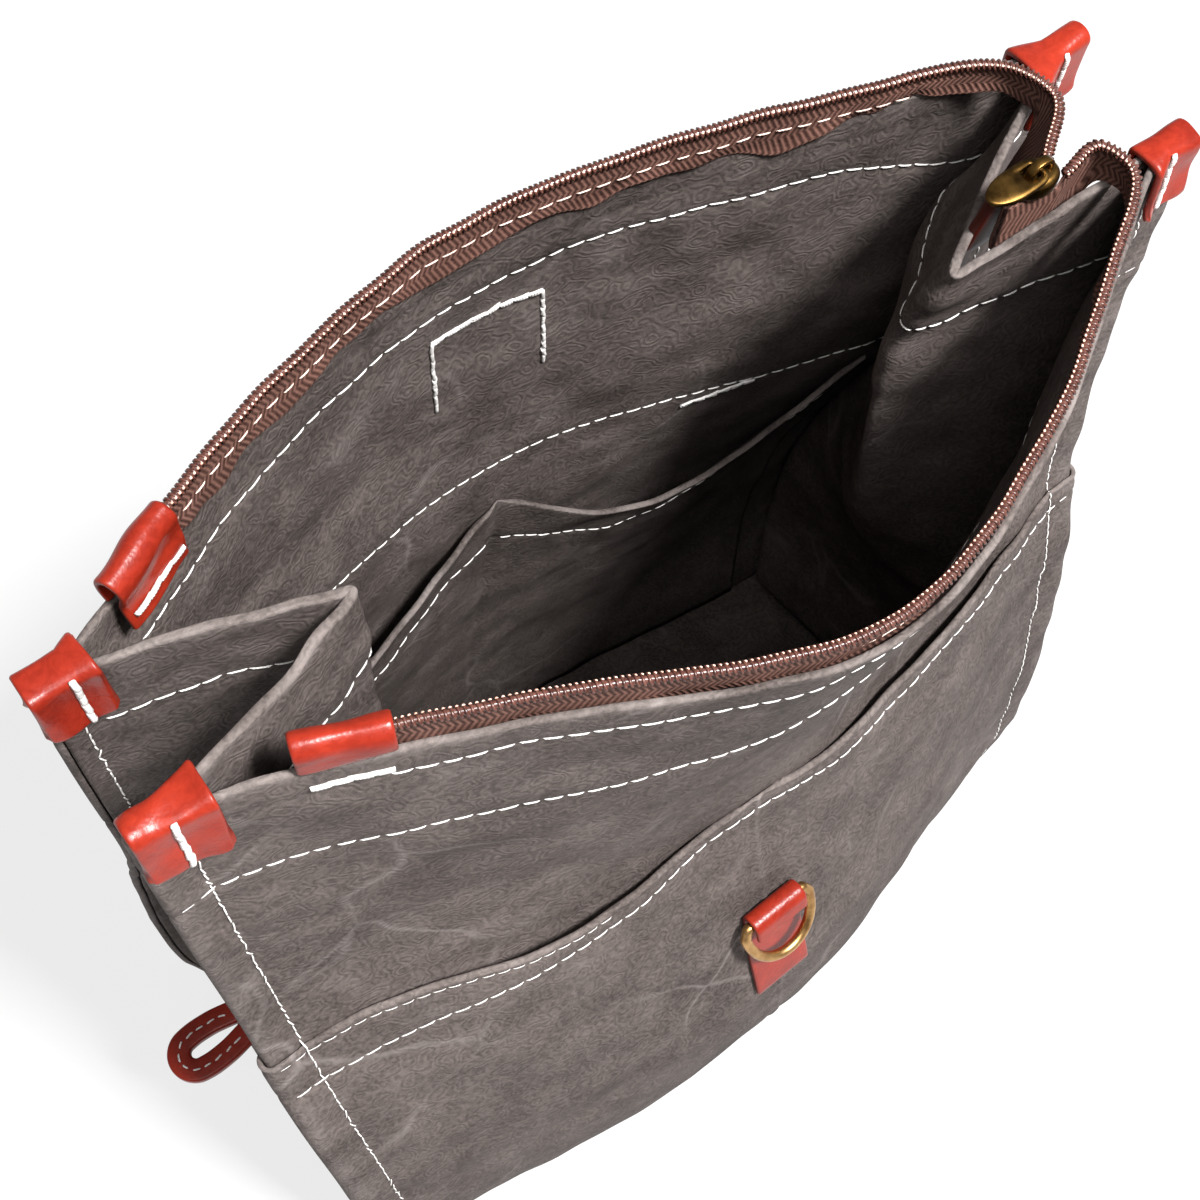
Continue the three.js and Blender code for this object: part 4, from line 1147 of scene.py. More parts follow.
def zip_line(side, start, leave, bend, hang, lean):
    """The rim's line with the free end that turns to the slider, and the tape's lower hem, which hangs in the fold."""
    u = np.linspace(start, leave, SEWN)
    crest = panel(side, u, RIM_Z, TAPE_FACE)
    hem = panel(side, u, RIM_Z - TAPE_LAP, TAPE_FACE)
    turns = [[*point, RIM_Z] for point in [*bend, [SLIDER_MOUTH, SLIDER_Y + side * ZIP_HALF_GAP]]]
    free = smooth_path([crest[-8], crest[-1], *turns], FREE + 6)
    free = free[np.linalg.norm(free - crest[-8], axis=1) > np.linalg.norm(crest[-1] - crest[-8]) + 0.5]
    line = np.concatenate([crest, free])
    loose = np.clip((np.arange(len(line)) - SEWN + 30) / 40, 0, 1)[:, None]
    to_slider = np.linalg.norm(line - line[-1], axis=1)
    hung = 1 - step(to_slider, hang[1], hang[0])
    leaning = level_sides(line)[0] * (lean * hung * step(to_slider, 1, 8))[:, None]
    lifted = line + (FREE_LIFT - FREE_HANG * hung)[:, None] * UP - leaning
    below = np.concatenate([hem, free + FREE_LIFT * UP])
    return line, below * (1 - loose) + lifted * loose


zip_lines = {}
for name, zip_half in ZIPS.items():
    zip_lines[name] = zip_line(**zip_half)
    print(name, "zip:", len(zip_lines[name][0]), "points")


# %% Zip tapes
TAPE_ROWS = 26
TAPE_TOP = TAPE_STAND - 2.6
TAPE_CLOTH = 0.8
TAPE_WIDTH = 17.0
# Both tapes go on side by side under the slider.
TAIL_POINTS, TAIL_END, TAIL_APART, TAIL_TOP = 16, SLIDER_X - 9, 0.7, 4.6
for name, (line, hem) in zip_lines.items():
    tail_end = np.array([TAIL_END, SLIDER_Y + TAIL_APART * ZIPS[name]["side"], RIM_Z])
    tail = line[-1] + np.linspace(0, 1, TAIL_POINTS + 1)[1:, None] * (tail_end - line[-1])
    stand = np.concatenate([np.full(len(line), TAPE_TOP), np.full(TAIL_POINTS, TAIL_TOP)])
    hem = np.concatenate([hem, tail + hem[-1] - line[-1]])
    line = np.concatenate([line, tail])
    sides = level_sides(line)[0]
    run = run_along(line)
    t = np.linspace(0, 1, TAPE_ROWS)[None, :, None]
    middle = hem[:, None] * (1 - t) + (line + stand[:, None] * UP)[:, None] * t
    slack = (1 - t[..., 0]) ** 2
    wave = 0.4 * ripple(71, run[:, None], 8 * slack, 10, 26)
    middle = middle + sides[:, None] * (wave * slack)[..., None]
    middle[..., 2] += 1.5 * ripple(73, run, run * 0, 22, 50)[:, None] * slack
    points = strip_shell(middle, np.broadcast_to(sides[:, None], middle.shape), np.full(len(line), TAPE_CLOTH))
    flat = joined(run[:, None], np.linspace(0, 2 * TAPE_WIDTH, points.shape[1]))
    cloth = piece(f"zip_tape_{name}_cloth", points, TAPE_FINISH, flat, 0.0, [f"zip_tape_{name}"])

# %% Zip coils
COIL_PITCH = 1.5
COIL_WIDE, COIL_TALL = 1.35, 1.1
TURN_POINTS = 9
COIL_WIRE = 0.42
COIL_SIDES = 6
COIL_MIDDLE = TAPE_STAND - 1.7
CORE_WIRE, CORE_SIDES = 1.05, 8
BEAD = np.array([0.42, 0.36])
ZIP_ROW_Z = 1.4
ZIP_THREAD = dict(pitch=5.6, gap=1.6, radius=0.28, rise=0.22, wobble=0.1, seed=81)


def winding(line):
    """A thread that winds round a level path: a small flattened circle that moves forward by a pitch each turn."""
    even, = resampled(line, count=900)
    turns = int(run_along(line)[-1] / COIL_PITCH)
    phase = np.linspace(0, 2 * np.pi * turns, turns * TURN_POINTS)
    at, index = phase / phase[-1] * (len(even) - 1), np.arange(len(even))
    sides = read_at(at, index, level_sides(even)[0])
    middle = read_at(at, index, even) + UP * COIL_MIDDLE
    return middle + sides * (COIL_WIDE * np.cos(phase))[:, None] + UP * (COIL_TALL * np.sin(phase))[:, None], turns


def cord_mesh(path, radius, sides):
    """A round cord along a path: rings in the plane across it."""
    tangent = unit(np.gradient(path, axis=0))
    first = unit(np.cross(tangent, [0.31, 0.17, 0.94]))
    second = np.cross(tangent, first)
    angle = circle(sides)
    ring = first[:, None] * np.cos(angle)[:, None] + second[:, None] * np.sin(angle)[:, None]
    return path[:, None] + ring * radius


def beads(centres, ahead, wide, radii):
    """Small round beads that paint highlights: each is a short tube with narrow ends, so that it closes like a lemon.
    """
    s = np.linspace(-1, 1, 5)
    angle = circle(STITCH_SIDES)
    swell = np.sqrt(1 - 0.94 * s ** 2)
    ring = wide[:, None, None] * np.cos(angle)[:, None] + np.cross(ahead, wide)[:, None, None] * np.sin(angle)[:, None]
    points = centres[:, None, None] + ahead[:, None, None] * (radii[0] * s)[:, None, None]
    points = points + ring * (radii[1] * swell)[:, None, None]
    return points, tube_faces(len(centres), 5, STITCH_SIDES)


for name, (line, _) in zip_lines.items():
    inward = -ZIPS[name]["side"]
    wound, turns = winding(line)
    piece(f"zip_coil_{name}", cord_mesh(wound, COIL_WIRE, COIL_SIDES), COIL_FINISH)
    even, = resampled(line, count=300)
    core = cord_mesh(even + UP * COIL_MIDDLE, CORE_WIRE, CORE_SIDES)
    piece(f"zip_core_{name}", core, COIL_FINISH)
    at, towards, along = resampled(line, *level_sides(line), count=turns)
    towards = unit(towards) * inward
    # The beads are painted highlights: a pale glint on the inner top of each turn.
    centres = at + UP * (COIL_MIDDLE + COIL_TALL * 0.82) + towards * COIL_WIDE * 0.72
    points, faces = beads(centres, unit(along), unit(towards), BEAD)
    piece(f"zip_highlight_beads_{name}", points, HIGHLIGHT_BEAD_FINISH, faces=faces)
    sewn, sides = resampled(line[:SEWN], level_sides(line)[0][:SEWN], count=300)
    inwards = unit(sides) * inward
    row = stitch_row(sewn + UP * ZIP_ROW_Z + inwards * TAPE_CLOTH * 0.5, inwards, **ZIP_THREAD)
    stitches(f"zip_stitches_{name}", [row], ZIP_THREAD_FINISH)

# %% [markdown]
# ## Leather tabs
# A saddle of leather covers each corner of the rim and the left end of each zip tape. Each is a strip bent over the
# edge, so its section is a narrow arch, and the arch is carried along the edge. The zip's tabs are a round roll over
# the coil with a flap inside. The corner saddles are pinched where the thread pulls them down, and flare at the foot.


# %% Zip tabs
LEATHER = 2.2


def leather_strip(name, middle, normal, thick, stations, thin, length):
    """A strip with rounded cut edges, which are darker, in place of the solid of that name."""
    points = strip_shell(middle, normal, thick * thin)
    flat = joined(stations[:, None], np.linspace(0, length, points.shape[1]))
    wear = np.broadcast_to((1 - thin)[:, None], points.shape[:2])
    piece(f"{name}_leather", points, LEATHER_FINISH, flat, wear, [name])


ZIP_TAB_THICK = 1.8
ZIP_TAB_LENGTH = 21.5
# Middle line of the roll and its flap: distance out of the bag from the tape, and height over the rim.
ROLL = [[-2.7, -9.6], [-2.2, -3], [-2.3, 1.6], [-2.9, 5.0], [-2.7, 9.6], [0, 11.6], [2.7, 9.6], [3.0, 5.6], [2.5, 1.4]]
ROLL_POINTS = 56
ROLL_RUN = 60
# The tab's two rows of stitches: in from its ends, and below the rim inside and outside the bag.
TAB_ROW_INSET, TAB_ROW_INSIDE, TAB_ROW_OUTSIDE = 1.5, 4.0, 8.5
for name, zip_half in ZIPS.items():
    side, start = zip_half["side"], zip_half["start"] - 4 / RIM_HALF
    stations, thin = cut_edges(ZIP_TAB_LENGTH, 22)
    u = start + stations / RIM_HALF
    foot, out = panel(side, u, RIM_Z, TAPE_FACE), panel_out(side, u, RIM_Z)
    section = smooth_path(ROLL, ROLL_POINTS)
    middle = foot[:, None] + out[:, None] * section[None, :, :1] + section[None, :, 1:] * UP
    bulge = 0.3 * ripple(91, stations[:, None], section[:, 1], 9, 24)
    normal = grid_normals(middle)
    middle = middle + normal * bulge[..., None]
    leather_strip(f"zip_tab_{name}", middle, normal, ZIP_TAB_THICK, stations, thin, ROLL_RUN)
    low = start + np.linspace(TAB_ROW_INSET, ZIP_TAB_LENGTH - TAB_ROW_INSET, 60) / RIM_HALF
    inner = panel(side, low, RIM_Z, TAPE_FACE - 2.5 - ZIP_TAB_THICK / 2) - TAB_ROW_INSIDE * UP
    rows = [
        stitch_row(inner, -panel_out(side, low, RIM_Z), seed=93, **THICK_THREAD),
        panel_row(side, low, RIM_Z - TAB_ROW_OUTSIDE, 0.0, seed=94, **THICK_THREAD),
    ]
    stitches(f"zip_tab_{name}_stitches", rows)

# %% Corner tabs
TAB_HANG = 20.0
TAB_FLARE = {-1: 3.0, 1: 1.2}
TAB_ROUND = 3.0
TAB_CROWN, TAB_PINCH, TAB_PINCH_WIDTH = 1.6, 0.3, 6.0
TAB_ROW = 1.5
TAB_RUN = 92
# How far each saddle reaches beyond the seam, outwards over the flange and inwards along the rim.
TAB_REACH = {
    ("back", "left"): (12.6, 5.0), ("front", "left"): (11.4, 9.5),
    ("back", "right"): (11.4, 10.5), ("front", "right"): (11.6, 6.0),
}


def groove_y(hand, side, x, z, distance):
    """How far forward or back a gusset's outer face lies at each distance x from the middle of the bag."""
    line = gusset_line(hand, np.array([z]))[1][0]
    tangent = unit(np.gradient(line, axis=0))
    face = line + turned_left(tangent)[:, :2] * (CANVAS / 2 + distance)
    leg = face[: len(face) // 2] if side > 0 else face[::-1][: len(face) // 2]
    return np.interp(x, leg[::-1, 0], leg[::-1, 1])


def corner_tab(side, hand, stations, drops, out_gap, in_gap):
    """The saddle's sides, outside and in the groove: grids of stations along the flange by drops below the rim."""
    outer, inner = [], []
    for drop in drops:
        z = RIM_Z - drop
        level = level_at(z)
        flare = TAB_FLARE[hand] * (drop / TAB_HANG) ** 2
        x = level["half"] + stations
        outer.append(panel(side, hand * x / level["half"], z, out_gap + flare))
        inner.append(placed(level, hand * x, groove_y(hand, side, x, z, in_gap + 0.7 * flare), z))
    return np.stack(outer, 1), np.stack(inner, 1)


DROPS = np.linspace(TAB_HANG - LEATHER / 2, 0.0, 14)
CROWN_POINTS = 13
for (side_name, hand_name), (reach_out, reach_in) in TAB_REACH.items():
    side, hand = (1 if side_name == "back" else -1), (-1 if hand_name == "left" else 1)
    stations, thin = cut_edges(reach_out + reach_in, 26)
    stations = reach_out - stations
    outer, inner = corner_tab(side, hand, stations, DROPS, GAP + LEATHER / 2, 1.5 * GAP + LEATHER / 2)
    top_out, top_in = outer[:, -1:], inner[:, -1:]
    angle = np.linspace(0, np.pi, CROWN_POINTS + 2)[1:-1][None, :, None]
    spread = np.linalg.norm(top_out - top_in, axis=-1, keepdims=True) / 2
    pinch = 1 - TAB_PINCH * bell(stations + 0.5, TAB_PINCH_WIDTH)
    lift = np.minimum(spread, TAB_CROWN) * pinch[:, None, None] + 0.4
    crown = (top_out + top_in) / 2 + (top_out - top_in) / 2 * np.cos(angle) + UP * lift * np.sin(angle)
    middle = np.concatenate([outer, crown, inner[:, ::-1]], 1)
    ends = np.minimum(reach_out - stations, stations + reach_in)
    cut = TAB_ROUND * (1 - np.sqrt(1 - np.clip(1 - ends / 4, 0, 1) ** 2))
    fall = np.concatenate([DROPS, np.zeros(CROWN_POINTS), DROPS[::-1]]) / TAB_HANG
    middle[..., 2] += cut[:, None] * fall[None, :] ** 3
    normal = grid_normals(middle)
    run = np.linspace(-TAB_RUN / 4, TAB_RUN / 4, middle.shape[1])
    bulge = 0.3 * ripple(101 + side + 3 * hand, stations[:, None], run, 10, 24)
    middle = middle + normal * bulge[..., None]
    name = f"corner_tab_{side_name}_{hand_name}"
    leather_strip(name, middle, normal, LEATHER, stations, thin, TAB_RUN)
    line = np.argmin(np.abs(stations - TAB_ROW))
    outwards = normal[line] * np.sign(normal[line, middle.shape[1] // 2, 2])
    row = middle[line] + outwards * (LEATHER / 2 + 0.05)
    over_out, over_in = (2, -2) if side < 0 else (-2, 2)
    sewn_faces = (slice(0, len(DROPS) + over_out), slice(-len(DROPS) - over_in, None))
    rows = [stitch_row(row[part], outwards[part], seed=103 + k, **THICK_THREAD) for k, part in enumerate(sewn_faces)]
    stitches(f"{name}_stitches", rows)

# %% [markdown]
# ## Ring and keeper
# A brass ring hangs on the front in a folded leather keeper. The ring is a round wire along a D-shaped path, and the
# keeper is a strip that climbs the pocket, rolls over the ring's straight bar and ends in a short lip.

# %% Ring
KEEPER_Z = 174
KEEPER_WIDTH, KEEPER_TAIL, KEEPER_LIP, KEEPER_WAIST, KEEPER_RUN = 24, 50, 5, 0.08, 116
RING_INNER, RING_WIRE, RING_DROP, RING_LEAN, RING_CORNER = 25, 3.8, 23, 12, 2.2
RING_STEPS, RING_SIDES = 120, 20


def on_pocket(z, distance):
    """A point over the pocket's centre seam, on the smooth panel."""
    z = np.atleast_1d(np.asarray(z, float))
    u = np.zeros(len(z))
    return panel_base(-1, u, z) + panel_out(-1, u, z) * distance


seat = on_pocket(KEEPER_Z, GAP + CANVAS)[0]
out_there = panel_out(-1, np.zeros(1), KEEPER_Z)[0]
along_bar = turned_left(out_there)
climb = unit(on_pocket(KEEPER_Z + 5, 0)[0] - on_pocket(KEEPER_Z - 5, 0)[0])
outward = unit(np.cross(along_bar, climb))
bar_distance = GAP + LEATHER + GAP + RING_WIRE / 2
bar = seat + outward * bar_distance
lean = np.radians(RING_LEAN)
hang = -climb * np.cos(lean) + outward * np.sin(lean)

ring_half = (RING_INNER + RING_WIRE) / 2
a = np.linspace(0, np.pi, 60)
bow = joined(ring_half * np.cos(a), RING_DROP * np.sin(a) ** 0.8)
bar_half = ring_half - RING_CORNER
bar_line = joined(np.linspace(-bar_half, bar_half, 20), 0)
path = np.concatenate([bow[2:-2], bar_line])
path = np.vstack([path, path[:1]])
ring_run = run_along(path)
path = read_at(np.linspace(0, ring_run[-1], RING_STEPS, endpoint=False), ring_run, path)
ahead = unit(np.roll(path, -1, 0) - np.roll(path, 1, 0))
side_way = turned_left(ahead)[:, :2]
angle = circle(RING_SIDES)
spread = path[:, None] + side_way[:, None] * (RING_WIRE / 2 * np.cos(angle))[:, None]
depth = np.cross(along_bar, hang)
points = bar + spread[..., :1] * along_bar + spread[..., 1:] * hang + (RING_WIRE / 2 * np.sin(angle))[:, None] * depth
faces = grid_faces(RING_STEPS, RING_SIDES, wrap_rows=True, wrap_columns=True)
piece("d_ring_brass", points, BRASS_FINISH, stands_for=["d_ring"], body="d_ring", faces=faces)

# %% Keeper
tail_z = np.linspace(KEEPER_Z - KEEPER_TAIL, KEEPER_Z - 1, 30)
tail = on_pocket(tail_z, GAP + CANVAS + GAP + LEATHER / 2)
roll_radius = RING_WIRE / 2 + GAP + LEATHER / 2
a = np.linspace(np.pi, 0, 24)[:, None]
roll = bar + roll_radius * (outward * np.cos(a) + climb * np.sin(a))
lip = bar + roll_radius * outward - climb * np.linspace(0.6, KEEPER_LIP, 6)[:, None]
line = np.concatenate([tail, roll, lip])
stations, thin = cut_edges(KEEPER_WIDTH, 16)
taper = 1 - KEEPER_WAIST * step(np.linspace(0, 1, len(line)), 0.36, 0.48)
offset = (stations - KEEPER_WIDTH / 2)[:, None] * taper[None, :]
middle = line[None] + offset[..., None] * along_bar
leather_strip("d_ring_keeper", middle, grid_normals(middle), LEATHER, stations, thin, KEEPER_RUN)

# %% [markdown]
# ## Side loop
# A narrow leather strap is folded in two, stitched along its middle and bent into an eye on the left gusset. Its
# section is a bar with rounded corners, carried along a hairpin path.


# %% Side loop
def rounded_bar(width, thick, corner, count=6):
    """Outline of a bar with rounded corners, as a loop of points."""
    t = np.linspace(0, np.pi / 2, count)
    quarter = joined(np.cos(t), np.sin(t)) * corner
    shift = np.array([width / 2 - corner, thick / 2 - corner])
    turns = [(1, 1, quarter), (-1, 1, quarter[::-1]), (-1, -1, quarter), (1, -1, quarter[::-1])]
    return np.concatenate([(corner_points + shift) * [sx, sy] for sx, sy, corner_points in turns])


def swept(line, aside, upward, profile):
    """A profile carried along a path."""
    return line[:, None] + aside[:, None] * profile[None, :, :1] + upward[:, None] * profile[None, :, 1:]


LOOP_Y, LOOP_Z, LOOP_REACH, LOOP_SLOT, LOOP_BAND, LOOP_THICK = 14, 112, 28, 4.2, 8.5, 4.4
LOOP_POINTS, LOOP_RUN = 90, 80
LOOP_THREAD = dict(pitch=4.4, gap=1.3, radius=0.36, rise=0.3, seed=111)
level, cheek = gusset_line(-1, np.array([LOOP_Z - LOOP_THICK]))
near = np.abs(cheek[0, :, 1] - LOOP_Y) < LOOP_REACH
cheek_x = cheek[0, near, 0].max()
root = placed({k: v[0] for k, v in level.items()}, -(cheek_x + CANVAS / 2 + GAP), LOOP_Y, LOOP_Z)
loop_half = (LOOP_SLOT + LOOP_BAND) / 2
loop_turn = LOOP_REACH - loop_half - LOOP_BAND / 2
a = np.linspace(np.pi / 2, 1.5 * np.pi, 9)
corners = np.concatenate([
    [[1.6, loop_half * 0.7], [-loop_turn * 0.5, loop_half]],
    joined(-loop_turn + loop_half * np.cos(a), loop_half * np.sin(a)),
    [[-loop_turn * 0.5, -loop_half], [1.6, -loop_half * 0.7]],
])
line = root + smooth_path(np.column_stack([corners, np.zeros(len(corners))]), LOOP_POINTS)
upward = np.tile(UP, (LOOP_POINTS, 1))
points = swept(line, level_sides(line)[0], upward, rounded_bar(LOOP_BAND, LOOP_THICK, 1.1))
flat = joined(np.linspace(0, LOOP_RUN, LOOP_POINTS)[:, None], np.arange(points.shape[1]) * 1.0)
piece("side_loop_leather", points, LEATHER_FINISH, flat, 0.12, ["side_loop"])
rows = []
for away in (1, -1):
    row = (line + away * (LOOP_THICK / 2 + 0.02) * UP)[4:-4]
    rows.append(stitch_row(row, away * upward[4:-4], **LOOP_THREAD))
stitches("side_loop_stitches", rows)

# %% [markdown]
# ## Back patch and shoulder straps
# The back is hidden in the photo. The heavy stitches inside say that a square patch and a pair of straps are sewn on
# there, so they are made plainly: leather for the patch and webbing for the straps, which stand clear in the middle.

# %% Back patch
PATCH_X, PATCH_WIDTH, PATCH_FOOT, PATCH_TOP, PATCH_THICK, PATCH_RUN = -2, 46, 314, 360, 2, 96
stations, thin = cut_edges(PATCH_WIDTH, 30)
u = ((stations - PATCH_WIDTH / 2 + PATCH_X) / RIM_HALF)[:, None]
z = np.linspace(PATCH_FOOT + PATCH_THICK / 2, PATCH_TOP - PATCH_THICK / 2, 36)[None, :]
middle = panel(1, u, z, GAP + PATCH_THICK / 2)
leather_strip("back_patch", middle, panel_out(1, u, z), PATCH_THICK, stations, thin, PATCH_RUN)
rows = []
for k, line in enumerate(box_lines):
    z = np.maximum(line[:, 1], PATCH_FOOT + 3)
    rows.append(panel_row(1, line[:, 0], z, GAP + PATCH_THICK + 0.05, seed=120 + k, **HEAVY_THREAD))
stitches("back_patch_stitches", rows)

# %% Straps
STRAP_WIDTH, STRAP_THICK = 36, 3
STRAP_TOP, STRAP_FOOT = np.array([90, 262]), np.array([122, 22])
STRAP_STAND, STRAP_FLAT = 44, 24
STRAP_POINTS, STRAP_SEWN = 120, 10
STRAP_ROW = STRAP_WIDTH / 2 - 3
STRAP_ENDS = (slice(1, 1 + STRAP_SEWN), slice(STRAP_POINTS - 1 - STRAP_SEWN, STRAP_POINTS - 1))
profile = rounded_bar(STRAP_WIDTH, STRAP_THICK - 0.6, 0.9, 5)
for name, hand in (("strap_left", -1), ("strap_right", 1)):
    t = np.linspace(0, 1, STRAP_POINTS)
    x, z = (STRAP_TOP[:, None] * (1 - t) + STRAP_FOOT[:, None] * t)
    drop = STRAP_TOP[1] - STRAP_FOOT[1]
    free = np.maximum(0, drop * np.minimum(t, 1 - t) - STRAP_FLAT) / (drop / 2 - STRAP_FLAT)
    stand = STRAP_STAND * np.sin(np.pi / 2 * free) ** 1.5
    half = level_at(z)["half"]
    u = hand * x / half
    out = panel_out(1, u, z)
    along = -turned_left(out)
    foot = panel_base(1, u, z)
    reach = np.linspace(-1, 1, 9)[:, None] * STRAP_WIDTH / 2 / half
    seat_out = np.einsum("kij,ij->ki", panel_base(1, u + reach, z) - foot, out).max(0)
    middle = foot + out * (2 * GAP + 0.8 + seat_out + stand + STRAP_THICK / 2)[:, None]
    ahead = unit(np.gradient(middle, axis=0))
    upward = unit(np.cross(along, ahead))
    upward = upward * np.sign(np.sum(upward * out, -1, keepdims=True))
    points = swept(middle, along, upward, profile)
    flat = joined(profile[:, 0], run_along(middle)[:, None])
    piece(f"{name}_webbing", points, WEBBING_FINISH, flat, 0.0, [name])
    face = middle + upward * (STRAP_THICK / 2 - 0.3)
    rows = []
    for ends in STRAP_ENDS:
        for shift in (-STRAP_ROW, STRAP_ROW):
            rows.append(stitch_row(face[ends] + along[ends] * shift, upward[ends], pitch=4.5, seed=131))
        for k in (ends.start, ends.stop - 1):
            row = face[k] + along[k] * np.linspace(-STRAP_ROW, STRAP_ROW, 30)[:, None]
            rows.append(stitch_row(row, np.tile(upward[k], (30, 1)), pitch=4.5, seed=132))
    stitches(f"{name}_stitches", rows)

# %% [markdown]
# ## Slider, pull and zip end
# The slider is a flat brass body that narrows to its tail, with a bridge that holds the pull. The bodies are grids
# that close on themselves, with a rounded section. The leather end of the zip hangs below it in the fold. The brass
# and the leather here are darker copies of their finishes, painted shade of the fold.


# %% Slider and pull
def pebble(outline, low, high, edge):
    """A flat body with rounded rims: the outline shrinks towards its top and bottom along quarter circles."""
    centre = outline.mean(0)
    t = np.linspace(-np.pi / 2, np.pi / 2, 13)
    inset = edge * (1 - np.cos(t))
    z = np.where(t < 0, low + edge * (1 + np.sin(t)), high - edge * (1 - np.sin(t)))
    away = unit(outline - centre)
    rings = outline[None] - away[None] * inset[:, None, None]
    return joined(rings[..., 0], rings[..., 1], z[:, None])


SLIDER_TOP = RIM_Z + TAPE_STAND + 1.2
SLIDER_TALL, SLIDER_HALF, SLIDER_FLARE, SLIDER_EDGE = 6.4, 4.6, 0.65, 2.0
t = circle(72)
egg_half = SLIDER_HALF + SLIDER_FLARE * np.cos(t)
egg = joined(SLIDER_X + SLIDER_LENGTH / 2 * np.cos(t), SLIDER_Y + egg_half * np.sin(t))
points = pebble(egg, SLIDER_TOP - SLIDER_TALL, SLIDER_TOP, SLIDER_EDGE)
piece("zip_slider_brass", points, PAINTED_SHADE_BRASS_FINISH, stands_for=["zip_slider"])

BRIDGE_HALF, BRIDGE_HEIGHT, BRIDGE_BAR, BRIDGE_WIDTH = 4.0, 4.2, 1.5, 2.6
inner_half, inner_top = BRIDGE_HALF - BRIDGE_BAR / 2, BRIDGE_HEIGHT - BRIDGE_BAR / 2
leg = np.array([[-inner_half, 0, -0.8], [-inner_half, 0, inner_top - 1.4], [-inner_half + 1.2, 0, inner_top]])
hoop = smooth_path([*leg, *(leg[::-1] * [-1, 1, 1])], 50) + [SLIDER_X, SLIDER_Y, SLIDER_TOP]
ahead = unit(np.gradient(hoop, axis=0))
aside = np.tile([0, 1.0, 0], (len(hoop), 1))
points = swept(hoop, aside, np.cross(ahead, aside), rounded_bar(BRIDGE_WIDTH, BRIDGE_BAR, 0.45, 4))
piece("zip_slider_bridge", points, PAINTED_SHADE_BRASS_FINISH)

PULL_LENGTH, PULL_WIDTH, PULL_THICK = 17, 9, 1.5
EYE_LENGTH, EYE_WIDTH, EYE_WALL = 4.6, 4.2, 1.8
pull_z = SLIDER_TOP + BRIDGE_HEIGHT / 2 - BRIDGE_BAR / 2
pull_x = SLIDER_X - EYE_WALL / 2


def squared(value, power):
    """A sine or cosine whose circle is pushed out towards a square, more so for a low power."""
    return np.sign(value) * np.abs(value) ** power


# The plate's outline has a round left end and rounded right corners, and its eye has rounded corners all round.
t = circle(64)
cosine, sine = np.cos(t), np.sin(t)
plate_middle, plate_half = (EYE_WALL - PULL_LENGTH) / 2, (EYE_WALL + PULL_LENGTH) / 2
plate_x = plate_middle + plate_half * np.where(cosine > 0, squared(cosine, 0.5), cosine * 0.999)
plate = joined(plate_x, PULL_WIDTH / 2 * np.where(cosine > 0, squared(sine, 0.5), sine))
eye_x = -EYE_LENGTH / 2 + EYE_LENGTH / 2 * squared(cosine, 0.4)
eye = joined(eye_x, EYE_WIDTH / 2 * squared(sine, 0.4))
# Section of the plate between its eye and its outline: share of the way across, and share of its thickness.
LIPS = np.array([[0, -0.3], [0, 0.3], [0.06, 0.5], [0.94, 0.5], [1, 0.3], [1, -0.3], [0.94, -0.5], [0.06, -0.5]])
across, height = LIPS.T[:, :, None]
rings = eye * (1 - across)[..., None] + plate * across[..., None]
points = joined(rings[..., 0], rings[..., 1], height * PULL_THICK) + [pull_x, SLIDER_Y, pull_z]
faces = grid_faces(*points.shape[:2], wrap_rows=True, wrap_columns=True)
piece("zip_pull_brass", points, PAINTED_SHADE_BRASS_FINISH, stands_for=["zip_pull"], body="zip_pull", faces=faces)

# %% Zip end tab
END_Y, END_WIDTH, END_DROP, END_THICK, END_LEAN = -9.5, 19, 27, 3.4, np.radians(8.7)
END_POINTS = 40
t = np.linspace(0, 1, END_POINTS)
profile = rounded_bar(END_WIDTH, END_THICK, 1.2, 5)
end_z = SLIDER_TOP - SLIDER_TALL - 2 * GAP - np.cos(END_LEAN) * END_DROP * t
line = joined(SLIDER_X - 2, END_Y + np.sin(END_LEAN) * END_DROP * t, end_z)
narrow = np.sqrt(np.clip(1 - np.clip((t - 0.86) / 0.14, 0, 1) ** 2 * 0.75, 0, 1))
aside = np.tile([1.0, 0, 0], (END_POINTS, 1)) * narrow[:, None]
upward = np.tile([0, np.cos(END_LEAN), np.sin(END_LEAN)], (END_POINTS, 1))
points = swept(line, aside, upward, profile)
# The end tab gets the painted-shade copy of the leather, darker for the shade in the fold.
piece("zip_end_tab_leather", points, PAINTED_SHADE_LEATHER_FINISH, points[..., ::2], 0.5, ["zip_end_tab"])

# %% [markdown]
# ## Floor and light
# The photo has a white backdrop and one lamp high in front of the bag and to its right, small enough to draw the edge
# of the right gusset's shadow on the back panel. A weak lamp and light from all round fill the rest. The floor is a
# pale sheet that glows, as a lit backdrop does, so that the shadow on it stays faint.


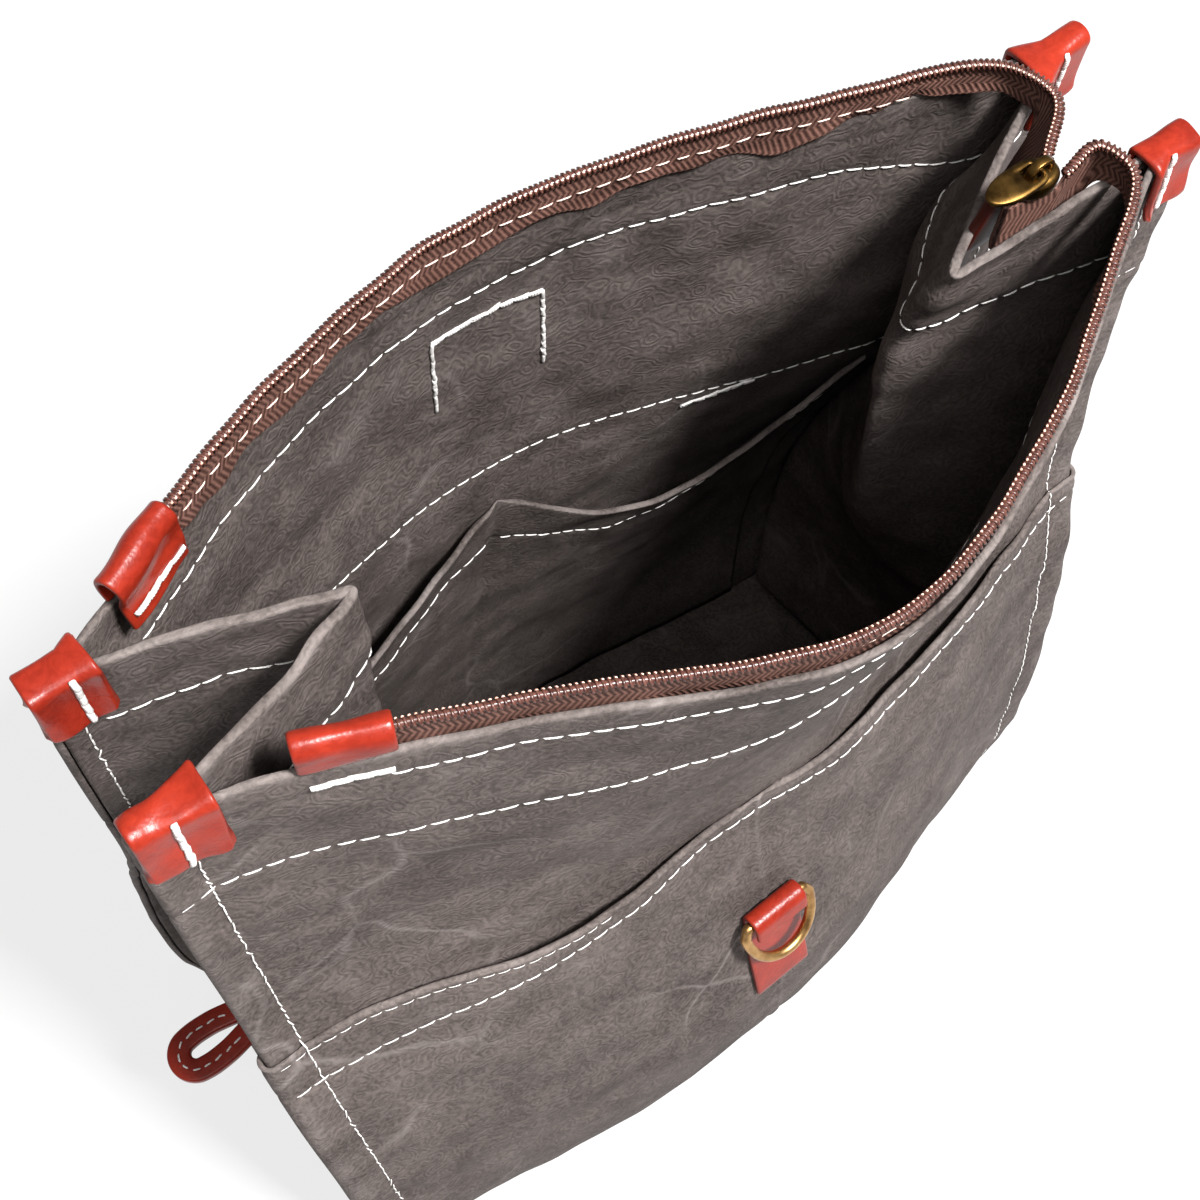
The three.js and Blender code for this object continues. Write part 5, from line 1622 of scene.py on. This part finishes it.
# %% Floor
FLOOR_GLOW = 0.75
FLOOR_REACH = 6


def backdrop(place, flat, dark, light):
    """A dull sheet with faint clouds that glows white."""
    return {
        "Base Color": place.noise(3.0, 2.0).between(0.2, 0.8).mix(dark, light),
        "Roughness": 0.9,
        "Emission Color": (1, 1, 1, 1),
        "Emission Strength": FLOOR_GLOW,
    }


mesh = bpy.data.meshes.new("floor")
corners = [(x * FLOOR_REACH, y * FLOOR_REACH, 0) for x, y in ((-1, -1), (1, -1), (1, 1), (-1, 1))]
mesh.from_pydata(corners, [], [(0, 1, 2, 3)])
mesh.materials.append(finish("pale_floor", backdrop, (0.13, 0.13, 0.13), (0.14, 0.14, 0.14)))
floor = bpy.data.objects.new("floor", mesh)
bpy.context.scene.collection.objects.link(floor)
floor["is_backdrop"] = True

# %% Lights
# Each row: name, place in metres, size in metres, power in watts.
LAMPS = [
    ("key", (0.30, -0.75, 1.95), 0.3, 118),
    ("fill", (-0.55, -0.6, 2.0), 0.8, 15),
]
WORLD_STRENGTH = 0.27
AIM = np.array([0, 0, 0.25])
for name, place_m, size, power in LAMPS:
    lamp = bpy.data.lights.new(name, "AREA")
    lamp.size = size
    lamp.energy = power
    shine = bpy.data.objects.new(name, lamp)
    z_axis = unit(np.array(place_m) - AIM)
    x_axis = unit(np.cross(UP, z_axis))
    columns = np.column_stack([x_axis, np.cross(z_axis, x_axis), z_axis, place_m])
    shine.matrix_world = Matrix(np.vstack([columns, [0, 0, 0, 1]]).tolist())
    bpy.context.scene.collection.objects.link(shine)
world = bpy.data.worlds.new("studio")
world.use_nodes = True
world.node_tree.nodes["Background"].inputs["Color"].default_value = (1, 1, 1, 1)
world.node_tree.nodes["Background"].inputs["Strength"].default_value = WORLD_STRENGTH
bpy.context.scene.world = world
bpy.context.scene.view_settings.view_transform = "Standard"
print("lamps:", [row[0] for row in LAMPS])

# %% [markdown]
# ## Box of the dressed bag
# Last, the box of the dressed bag is measured, leaving out the floor.

# %% Finish
low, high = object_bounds()
